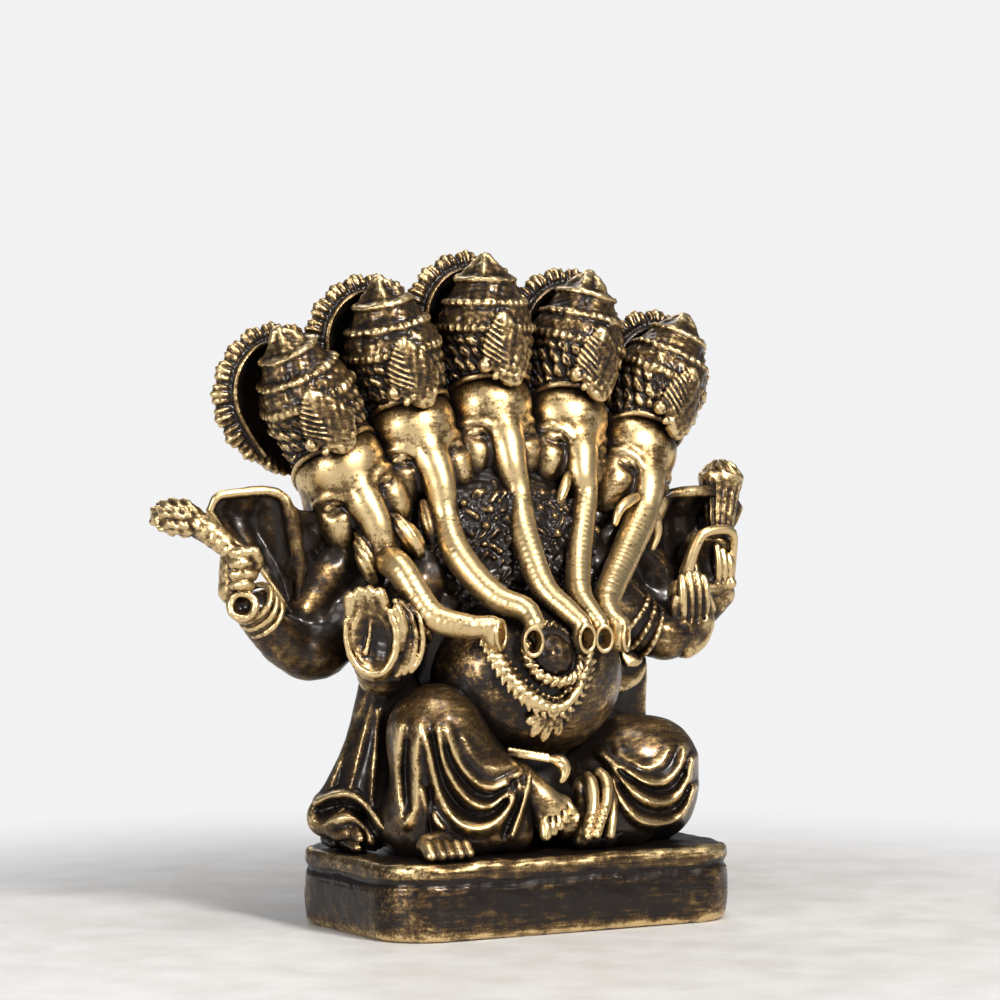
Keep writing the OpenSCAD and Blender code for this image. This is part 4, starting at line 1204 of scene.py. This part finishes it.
def right_club():
    """A bent bud on a ringed neck, its scales crumpled."""
    clay = Clay((-86, -3, 74), (-61, 18, 98), FINE)
    neck = [(-67.2, 2.6, 80.6, 2.0), (-69.0, 4.4, 83.8, 2.0), (-71.2, 6.6, 86.4, 2.3),
            (-73.6, 8.4, 88.4, 2.8), (-76.0, 10.0, 89.6, 3.7), (-78.2, 11.4, 90.0, 3.6),
            (-79.8, 12.4, 90.2, 2.6)]
    path = smooth_path(neck, 0.4)
    run = np.arange(len(path)) * 0.4
    collars = 0.5 * np.maximum(0, np.sin(run * 2 * math.pi / 2.1)) * ease(run, 2,
                                                                          4) * (1 - ease(run, 10, 12))
    path[:, 3] += collars
    clay.add(bars(path))

    def crumple(x, y, z):
        bud = ease(-x, 73, 75.5)
        scale = np.abs(np.sin(1.35 * (x + 0.6 * z)) * np.sin(1.35 * (0.7 * y - 0.8 * z + 0.4 * x)))
        return bud * (0.75 * scale - 0.2 + 0.3 * ripple(x, y, z, 3.0, 2)) + 0.15 * ripple(x, y, z, 2.4, 3)
    clay.raise_by(crumple)
    return clay


def left_lotus():
    """A fluted bud with a flared lip."""
    turn = turned("x", -12) @ turned("y", 10)
    clay = Clay((-6.5, -6.5, -5), (6.5, 6.5, 23), FINE, turn, (57.0, 8, 78))
    clay.add(lathe([(0, -4), (1.9, -4), (2.0, 3), (2.8, 5), (3.4, 8), (3.9, 12), (4.4, 15), (5.0, 16.6),
                    (5.2, 17.8), (4.5, 18.6), (3.4, 20.2), (1.8, 21.4), (0, 21.8)]))

    def flutes(x, y, z):
        turn_by = np.arctan2(y, x)
        body = ease(z, 3, 6) * (1 - ease(z, 15.6, 16.6))
        top = ease(z, 17.6, 18.6)
        fluted = body * 0.42 * np.abs(np.cos(turn_by * 7)) - 0.2 * body
        return fluted + top * 0.35 * np.cos(turn_by * 9 + z) + 0.12 * ripple(x, y, z, 2.2)
    clay.raise_by(flutes)
    return clay


# ------------------------------------------------------------------ ornaments
BOWL_AT = (-2.4, -17.6, 58.8)
BOWL_TILT = 62


def bowl_clay(low, high):
    return Clay(low, high, FINE, turned("x", BOWL_TILT), BOWL_AT)


def sweet_bowl():
    """A shallow bowl with a thick, rough rim."""
    clay = bowl_clay((-9.5, -9.5, -4.5), (9.5, 9.5, 4.6))
    clay.add(lathe([(0, -3), (4, -3), (5.8, -2), (6.9, -0.4), (7.6, 1.0), (7.7, 2.4), (7.0, 3.3),
                    (6.0, 3.2), (5.3, 2.2), (5.0, 0.8), (0, 0.6)]))

    def rope(x, y, z):
        turn = np.arctan2(y, x)
        r = np.sqrt(x * x + y * y)
        strands = 0.22 * np.sin(turn * 26 + r * 3.2) * ease(r, 5.2, 6.0)
        return strands + 0.3 * ripple(x, y, z, 2.6) + 0.15 * ripple(x, y, z, 1.7, 4)
    clay.raise_by(rope)
    return clay


def sweet():
    clay = bowl_clay((-6, -6, -1), (6, 6, 6.4))
    clay.add(egg((0, 0, 1.4), (5.0, 5.0, 3.6)))
    clay.raise_by(lambda x, y, z: 0.2 * ripple(x, y, z, 2.8, 5))
    return clay


STRAND = [(-17.4, -15.8, 64.6, 1.3), (-15.6, -17.8, 59.6, 1.5), (-13, -19.4, 55, 1.6),
          (-9.6, -20.6, 51.4, 1.7), (-5.6, -21.3, 48.8, 1.6),
          (-1.6, -21.5, 48.6, 1.5), (1.8, -21.4, 51.4, 1.5), (4.0, -21.0, 55.4, 1.4),
          (5.6, -20.4, 59.4, 1.2)]


def necklace():
    """A thick twisted cord with a row of leaves along its outer edge and beads along its inner one."""
    clay = Clay((-22, -26, 43), (10, -12, 69), FINE)
    path = smooth_path(STRAND, 0.45)
    run = np.arange(len(path)) * 0.45
    for phase in (0, math.pi):
        turn = run * 2 * math.pi / 3.4 + phase
        ply = path.copy()
        ply[:, 0] += 0.75 * np.cos(turn)
        ply[:, 2] += 0.5 * np.cos(turn)
        ply[:, 1] += 0.6 * np.sin(turn)
        ply[:, 3] *= 0.66
        clay.add(bars(ply), 0.15)
    along = np.gradient(path[:, :3], axis=0)
    along /= np.linalg.norm(along, axis=1)[:, None]
    for i in range(3, len(path) - 3, 4):
        x, y, z, r = path[i]
        out = np.array((along[i, 2], 0, -along[i, 0]))
        out = -out if out[2] > 0 else out
        leaf = np.array((x, y - 0.5, z)) + out * r
        clay.add(rod((*leaf, 0.75), (*(leaf + 0.9 * out + 0.7 * along[i]), 0.35)), 0.2)
        bead = np.array((x, y - 0.2, z)) - out * (r + 0.5)
        clay.add(ball(*bead, 0.6), 0.15)
    clay.raise_by(lambda x, y, z: 0.12 * ripple(x, y, z, 2.1, 4))
    return clay


def pendant():
    """A bunch of ragged leaves where the two ends of the cord meet."""
    clay = Clay((-13, -26, 37), (6, -17, 56), FINE)
    leaves = ((-62, 3.6, -5.6, 47.0), (-30, 4.6, -5.2, 46.4), (-6, 5.6, -3.8, 46.6),
              (16, 5.0, -2.2, 47.0), (36, 3.8, -0.6, 48.2), (60, 2.6, 0.6, 50.4))
    for lean, length, x, z in leaves:
        turn = turned("y", -lean) @ turned("x", 22)
        at = np.array((x, -20.9, z))
        tip = turn @ (0, 0, -length)
        leaf = placed(egg((0, 0, -length / 2), (1.3, 0.95, length / 2 + 0.7)), turn, at)
        clay.add(leaf, 0.2)
        clay.cut(rod((*(at + (0, -1.1, 0)), 0.22), (*(at + 0.9 * tip + (0, -0.8, 0)), 0.2)), 0.2)
    clay.add(ball(-4.0, -21.4, 47.8, 1.6), 0.3)
    clay.add(ring((-4.0, -22.4, 47.8), 1.2, 1.2, 0.35), 0.2)
    for x, z in ((-7.6, 48.4), (-1.4, 49.4), (0.6, 52.2)):
        clay.add(ball(x, -21.3, z, 0.95), 0.3)
    clay.raise_by(lambda x, y, z: 0.14 * ripple(x, y, z, 1.9, 2))
    return clay


def chest_beads():
    """A bib of small rough ornaments on the chest, between the trunks."""
    clay = Clay((-26, -10, 66), (26, 6, 99), FINE * 1.1)
    clay.add(egg((0, 7, 74), (27.4, 12.1, 24.6)))

    def fringe(x, y, z):
        upright = ease(z, 67, 69.5) * (1 - ease(z, 94, 98))
        inside = upright * (1 - ease(np.abs(x), 21, 24)) * (1 - ease(y, 1, 3))
        u = 0.8 * x + 0.6 * z + 0.9 * np.sin(0.8 * z + 0.3 * x)
        v = 0.8 * z - 0.6 * x + 0.9 * np.sin(0.7 * x - 0.4 * z)
        knobs = 0.5 * np.sin(1.7 * u) * np.sin(1.5 * v) + 0.3 * np.sin(2.9 * v + np.sin(u))
        rough = knobs + 0.2 * ripple(x, y, z, 1.9, 3)
        return inside * rough - 3 * (1 - inside)
    clay.raise_by(fringe)
    for row in range(7):
        z = 91 - row * 3.6
        for i in range(17):
            x = -20 + 2.5 * i + 1.2 * (row % 2)
            up = z + 1.0 * math.sin(i * 2.3 + row)
            fit = 1 - (x / 27.4) ** 2 - ((up - 74) / 24.6) ** 2
            y = 7 - 12.1 * math.sqrt(max(fit, 0.02))
            if (i * 7 + row * 4) % 5 < 3:
                clay.add(ball(x + 0.7 * math.sin(i * 3.7 + row * 2), y - 0.1, up,
                              0.85 + 0.35 * math.sin(i * 5.1 + row)), 0.5)
    return clay


# ------------------------------------------------------------------ finish
def vertex_value(tree, name):
    """A value that build_piece left on the mesh's vertices."""
    made = tree.nodes.new("ShaderNodeAttribute")
    made.attribute_name = name
    return made.outputs["Fac"]


def math_node(tree, kind, a, b, clamp=False):
    """One sum; a and b are numbers or the outputs of other nodes."""
    made = tree.nodes.new("ShaderNodeMath")
    made.operation = kind
    made.use_clamp = clamp
    for socket, value in zip(made.inputs, (a, b)):
        if isinstance(value, (int, float)):
            socket.default_value = value
        else:
            tree.links.new(value, socket)
    return made.outputs[0]


def mixed(tree, start, shares):
    """The start plus each share: a value, what is taken from it, and its weight."""
    total = start
    for value, middle, weight in shares:
        share = math_node(tree, "MULTIPLY", math_node(tree, "SUBTRACT", value, middle), weight)
        total = math_node(tree, "ADD", total, share)
    return math_node(tree, "ADD", total, 0, clamp=True)


def noise(tree, coords, scale, detail=3.0, rough=0.55, stretch=(1, 1, 1), turn=(0, 0, 0)):
    """A noise in millimetres: scale is how many lumps there are in a millimetre."""
    mapping = tree.nodes.new("ShaderNodeMapping")
    mapping.inputs["Rotation"].default_value = [math.radians(a) for a in turn]
    mapping.inputs["Scale"].default_value = [s / MM for s in stretch]
    tree.links.new(coords, mapping.inputs["Vector"])
    made = tree.nodes.new("ShaderNodeTexNoise")
    made.inputs["Scale"].default_value = scale
    made.inputs["Detail"].default_value = detail
    made.inputs["Roughness"].default_value = rough
    tree.links.new(mapping.outputs[0], made.inputs["Vector"])
    return made.outputs[0]


INK_TO_GOLD = ((0.0, (0.012, 0.008, 0.006)), (0.2, (0.034, 0.02, 0.01)), (0.46, (0.105, 0.062, 0.026)),
               (0.76, (0.27, 0.175, 0.073)), (1.0, (0.68, 0.5, 0.25)))


def finish_material(name, gild, streak_turn=(0, 20, 35), streaks=0.5, blotches=0.25, hollows=1.0,
                    edges=1.6):
    """Gold dry-brushed over a dark glossy ground: gild is how much gold there is before wear, dirt, and the
    dark ground and painted shade of crowded places take it off; hollows sets how dark the crowded places go.
    """
    material = bpy.data.materials.new(name)
    material.use_nodes = True
    tree = material.node_tree
    shader = tree.nodes["Principled BSDF"]
    coords = tree.nodes.new("ShaderNodeTexCoord").outputs["Object"]
    # These two values darken the colour where the figure crowds round a surface: partly the dark ground left
    # in real hollows, partly painted shade standing in for occlusion.
    proud, near_wash_and_shade, wide_wash_and_shade = (vertex_value(tree, key) for key in ("proud", "near_wash_and_shade", "wide_wash_and_shade"))
    strokes = noise(tree, coords, 1.0, 3.0, 0.65, (0.09, 1.3, 1.3), streak_turn)
    patches = noise(tree, coords, 0.16, 3.0, 0.6)
    mottle = noise(tree, coords, 0.42, 4.0, 0.7)
    grain = noise(tree, coords, 1.9, 2.0, 0.6)
    specks = noise(tree, coords, 1.35, 2.0, 0.5)

    # The gold is taken off by wear and by painted shade: the crowding values darken recesses and the places
    # between pieces.
    worn = ((proud, 0, edges), (near_wash_and_shade, 0, -1.7), (wide_wash_and_shade, 0, -2.6 * hollows),
            (strokes, 0.5, 2.2 * streaks),
            (patches, 0.5, 3.0 * blotches), (mottle, 0.5, 1.3), (grain, 0.5, 0.6))
    spots = math_node(tree, "MULTIPLY", math_node(tree, "SUBTRACT", specks, 0.66, clamp=True), 7.0,
                      clamp=True)
    amount = math_node(tree, "SUBTRACT", mixed(tree, gild, worn), spots, clamp=True)

    ramp = tree.nodes.new("ShaderNodeValToRGB")
    ramp.color_ramp.elements[1].position = INK_TO_GOLD[-1][0]
    for position, colour in INK_TO_GOLD[1:-1]:
        ramp.color_ramp.elements.new(position)
    for element, (position, colour) in zip(ramp.color_ramp.elements, INK_TO_GOLD):
        element.color = (*colour, 1)
    tree.links.new(amount, ramp.inputs[0])
    tree.links.new(ramp.outputs[0], shader.inputs["Base Color"])
    tree.links.new(mixed(tree, 0.5, [(amount, 0, 0.8)]), shader.inputs["Metallic"])
    tree.links.new(mixed(tree, 0.2, [(strokes, 0, 0.24), (grain, 0, 0.1)]), shader.inputs["Roughness"])
    shader.inputs["Specular IOR Level"].default_value = 0.3
    shader.inputs["Coat Weight"].default_value = 0.24
    shader.inputs["Coat Roughness"].default_value = 0.16

    height = math_node(tree, "MULTIPLY", strokes, 0.5)
    for value, weight in ((grain, 0.35), (amount, 0.25)):
        height = math_node(tree, "ADD", height, math_node(tree, "MULTIPLY", value, weight))
    bump = tree.nodes.new("ShaderNodeBump")
    bump.inputs["Strength"].default_value = 0.35
    bump.inputs["Distance"].default_value = 0.12 * MM
    tree.links.new(height, bump.inputs["Height"])
    tree.links.new(bump.outputs[0], shader.inputs["Normal"])
    return material


GOLD = finish_material("aged_gold", 0.46, streaks=0.35, blotches=0.35)
BRONZE = finish_material("bronze_wash", 0.3, streaks=0.5, blotches=0.3)
LEG_BRONZE = finish_material("leg_bronze", 0.5, (0, 30, 20), streaks=0.55, blotches=0.4, edges=0.9)
CROWN_BRONZE = finish_material("crown_bronze", 0.38, streaks=0.35, blotches=0.3, edges=1.6)
BELLY_BRONZE = finish_material("belly_bronze", 0.42, (0, 55, 0), streaks=0.8, blotches=0.55)
PLINTH_BRONZE = finish_material("plinth_bronze", 0.22, (0, 0, 0), streaks=0.8, blotches=0.45, edges=1.1)
CLOAK_BRONZE = finish_material("cloak_bronze", -0.02, (0, 80, 0), streaks=0.5, blotches=0.35)
ARM_BRONZE = finish_material("arm_bronze", 0.2, (0, 60, 20), streaks=0.4, blotches=0.8)
DARK = finish_material("black_wash", 0.02, streaks=0.25, blotches=0.2)
CHEST = finish_material("chest_wash", -0.3, streaks=0.2, blotches=0.2)
CHEST_BRONZE = finish_material("chest_bronze", 0.04, streaks=0.3, blotches=0.4)
HEAD_GOLD = finish_material("head_gold", 0.84, streaks=0.34, blotches=0.42, hollows=0.7)
EAR_GOLD = finish_material("ear_gold", -0.26, streaks=0.3, blotches=0.2, edges=2.2)
HALO_BRONZE = finish_material("halo_bronze", -0.06, streaks=0.3, blotches=0.3, edges=1.3)

# ------------------------------------------------------------------ building
PIECES = []


def piece(node, maker, material, slot, *args):
    """Lists a finished piece, which stands in for the CAD node of the same name."""
    PIECES.append((node, maker, material, slot, args))


piece("plinth", plinth, PLINTH_BRONZE, "bronze_wash")
piece("torso", torso, CHEST, "bronze_wash")
piece("belly", belly, BELLY_BRONZE, "bronze_wash")
piece("waist_knot", waist_knot, GOLD, "aged_gold")
piece("back_cloak", back_cloak, CLOAK_BRONZE, "bronze_wash")
piece("right_leg", right_leg, LEG_BRONZE, "bronze_wash")
piece("left_leg", left_leg, LEG_BRONZE, "bronze_wash")
piece("right_foot", right_foot, GOLD, "aged_gold")
piece("left_foot", left_foot, GOLD, "aged_gold")
piece("dhoti_pleats", dhoti_pleats, GOLD, "aged_gold")
piece("shawl_right", shawl, BRONZE, "bronze_wash", -1)
piece("shawl_left", shawl, BRONZE, "bronze_wash", 1)
piece("mouse", mouse, GOLD, "aged_gold")
for arm_name, arm_facts in ARMS.items():
    piece(arm_name, arm, ARM_BRONZE, "bronze_wash", *arm_facts)
piece("right_rear_hand", right_rear_hand, GOLD, "aged_gold")
piece("right_front_hand", right_front_hand, GOLD, "aged_gold")
piece("left_rear_hand", left_rear_hand, GOLD, "aged_gold")
piece("left_front_hand", left_front_hand, GOLD, "aged_gold")
piece("right_armlets", armlets, GOLD, "aged_gold", -1)
piece("left_armlets", armlets, ARM_BRONZE, "aged_gold", 1)
piece("right_club", right_club, BRONZE, "aged_gold")
piece("left_lotus", left_lotus, BRONZE, "aged_gold")
piece("sweet_bowl", sweet_bowl, GOLD, "aged_gold")
piece("sweet", sweet, DARK, "black_wash")
piece("necklace", necklace, BRONZE, "aged_gold")
piece("pendant", pendant, BRONZE, "aged_gold")
piece("chest_beads", chest_beads, CHEST_BRONZE, "aged_gold")
piece("right_ear", right_ear, EAR_GOLD, "aged_gold")
piece("left_ear", left_ear, EAR_GOLD, "aged_gold")
for h in range(1, 6):
    piece(f"head_{h}", head, HEAD_GOLD, "aged_gold", h)
    piece(f"tusks_{h}", tusks, GOLD, "aged_gold", h)
    piece(f"crown_{h}", crown, CROWN_BRONZE, "bronze_wash", h)
    piece(f"crest_{h}", crest, BRONZE, "aged_gold", h)
    piece(f"halo_{h}", halo, HALO_BRONZE, "bronze_wash", h)


def solid_space(clays):
    """A coarse grid of the whole figure that is 1 inside any piece and 0 in the air."""
    low, high = (np.array(corner) / MM for corner in cad_box)
    low, high = low - 8, high + 8
    space = np.zeros(np.ceil((high - low) / CELL).astype(int) + 1, np.float32)
    for clay in clays:
        skip = max(1, int(0.7 / clay.voxel))
        inner = np.argwhere(clay.d[::skip, ::skip, ::skip] < 0) * skip * clay.voxel
        points = clay.to_world(inner + np.array([a[0] for a in clay.axes]))
        index = np.clip(np.round((points - low) / CELL).astype(int), 0, np.array(space.shape) - 1)
        space[tuple(index.T)] = 1
    return space, low


def build_piece(entry, clay, spaces, low):
    """The mesh of one piece, with the values that its finish reads, and its place in the frame."""
    node, maker, material, slot, args = entry
    points, faces, proud = skin(clay)
    name = node + "_cast"
    mesh = bpy.data.meshes.new(name)
    mesh.vertices.add(len(points))
    mesh.vertices.foreach_set("co", (points * MM).ravel())
    mesh.loops.add(faces.size)
    mesh.loops.foreach_set("vertex_index", faces.astype(np.int32).ravel())
    mesh.polygons.add(len(faces))
    mesh.polygons.foreach_set("loop_start", np.arange(0, faces.size, 4, dtype=np.int32))
    mesh.polygons.foreach_set("use_smooth", np.ones(len(faces), bool))
    mesh.update(calc_edges=True)
    mesh.validate()
    at = (points - low) / CELL
    values = {"proud": proud, **{key: sample(space, at) - 0.5 for key, space in spaces.items()}}
    for key, value in values.items():
        mesh.attributes.new(key, "FLOAT", "POINT").data.foreach_set("value", value.astype(np.float32))
    made = bpy.data.objects.new(name, mesh)
    bpy.context.scene.collection.objects.link(made)
    mesh.materials.append(material)
    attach(made, "root")
    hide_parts(node)


with ThreadPoolExecutor(4) as crew:
    clays = list(crew.map(lambda entry: entry[1](*entry[4]), PIECES))
space, space_low = solid_space(clays)
# How crowded each spot of the figure is, at two widths: the finish darkens recesses and the places between
# pieces with it, partly as dark ground and partly as painted shade.
spaces = {"near_wash_and_shade": smear(smear(space, 3), 5), "wide_wash_and_shade": smear(smear(space, 9), 7)}
for entry, clay in zip(PIECES, clays):
    build_piece(entry, clay, spaces, space_low)

# ------------------------------------------------------------------ floor, light and camera
FLOOR_R = 6.0
FADE_FROM, FADE_TO = 0.08, 0.24
BACKDROP = (0.89, 0.89, 0.9, 1)


def pale_floor():
    """A disc of pale mottled stone that fades into the colour of the background."""
    mesh = bpy.data.meshes.new("floor")
    turns = np.arange(48) * 2 * math.pi / 48
    mesh.from_pydata([(FLOOR_R * math.cos(a), FLOOR_R * math.sin(a), 0) for a in turns], [],
                     [tuple(range(48))])
    made = bpy.data.objects.new("floor", mesh)
    bpy.context.scene.collection.objects.link(made)
    paint = bpy.data.materials.new("floor_paint")
    paint.use_nodes = True
    tree = paint.node_tree
    coords = tree.nodes.new("ShaderNodeTexCoord").outputs["Object"]
    mottle = noise(tree, coords, 0.06, 4.0, 0.6)
    ramp = tree.nodes.new("ShaderNodeValToRGB")
    ramp.color_ramp.elements[0].position = 0.35
    ramp.color_ramp.elements[0].color = (0.50, 0.475, 0.445, 1)
    ramp.color_ramp.elements[1].position = 0.62
    ramp.color_ramp.elements[1].color = (0.58, 0.565, 0.545, 1)
    tree.links.new(mottle, ramp.inputs[0])
    stone = tree.nodes["Principled BSDF"]
    tree.links.new(ramp.outputs[0], stone.inputs["Base Color"])
    stone.inputs["Roughness"].default_value = 0.5
    glow = tree.nodes.new("ShaderNodeEmission")
    glow.inputs["Color"].default_value = BACKDROP
    far = tree.nodes.new("ShaderNodeVectorMath")
    far.operation = "LENGTH"
    tree.links.new(coords, far.inputs[0])
    fade = tree.nodes.new("ShaderNodeMapRange")
    fade.interpolation_type = "SMOOTHSTEP"
    fade.inputs["From Min"].default_value = FADE_FROM
    fade.inputs["From Max"].default_value = FADE_TO
    tree.links.new(far.outputs["Value"], fade.inputs["Value"])
    mix = tree.nodes.new("ShaderNodeMixShader")
    tree.links.new(fade.outputs[0], mix.inputs[0])
    tree.links.new(stone.outputs[0], mix.inputs[1])
    tree.links.new(glow.outputs[0], mix.inputs[2])
    tree.links.new(mix.outputs[0], tree.nodes["Material Output"].inputs[0])
    made.data.materials.append(paint)
    return made


def studio_world():
    """The camera sees the pale backdrop; the figure is lit by a dimmer one."""
    world = bpy.data.worlds.new("studio")
    bpy.context.scene.world = world
    world.use_nodes = True
    tree = world.node_tree
    backdrop = tree.nodes["Background"]
    backdrop.inputs["Color"].default_value = BACKDROP
    fill = tree.nodes.new("ShaderNodeBackground")
    fill.inputs["Color"].default_value = (0.9, 0.93, 1.0, 1)
    fill.inputs["Strength"].default_value = 0.17
    seen = tree.nodes.new("ShaderNodeLightPath")
    mix = tree.nodes.new("ShaderNodeMixShader")
    tree.links.new(seen.outputs["Is Camera Ray"], mix.inputs[0])
    tree.links.new(fill.outputs[0], mix.inputs[1])
    tree.links.new(backdrop.outputs[0], mix.inputs[2])
    tree.links.new(mix.outputs[0], tree.nodes["World Output"].inputs[0])


pale_floor()
studio_world()

TARGET = Vector((0, 0, 0.075))


def softbox(name, azimuth, elevation, distance, size, watts, colour=(1, 1, 1)):
    """A square light; azimuth 0 shines from the front, and 90 from the figure's left."""
    a, e = math.radians(azimuth), math.radians(elevation)
    lamp = bpy.data.lights.new(name, "AREA")
    lamp.shape = "SQUARE"
    lamp.size = size
    lamp.energy = watts
    lamp.color = colour
    made = bpy.data.objects.new(name, lamp)
    made.location = TARGET + distance * Vector((math.sin(a) * math.cos(e), -math.cos(a) * math.cos(e),
                                                math.sin(e)))
    made.rotation_euler = (TARGET - made.location).to_track_quat("-Z", "Y").to_euler()
    bpy.context.scene.collection.objects.link(made)


softbox("key", 8, 32, 1.1, 0.2, 17, (1.0, 0.98, 0.95))
softbox("side", -66, 15, 1.1, 0.26, 6.5, (0.97, 0.98, 1.0))
softbox("top", -10, 78, 1.2, 0.5, 6)
softbox("rear", 170, 35, 1.4, 0.7, 4)

bpy.context.scene.view_settings.view_transform = "Standard"
camera_data = bpy.data.cameras.new("camera")
camera_data.sensor_width = 36
camera_data.lens = 180
camera_data.shift_x = -0.017
camera = bpy.data.objects.new("camera", camera_data)
camera.location = (-0.548, -0.9416, 0.1453)
camera.rotation_euler = (math.radians(90 - 2.8), 0, -VIEW_TURN)
bpy.context.scene.collection.objects.link(camera)
bpy.context.scene.camera = camera
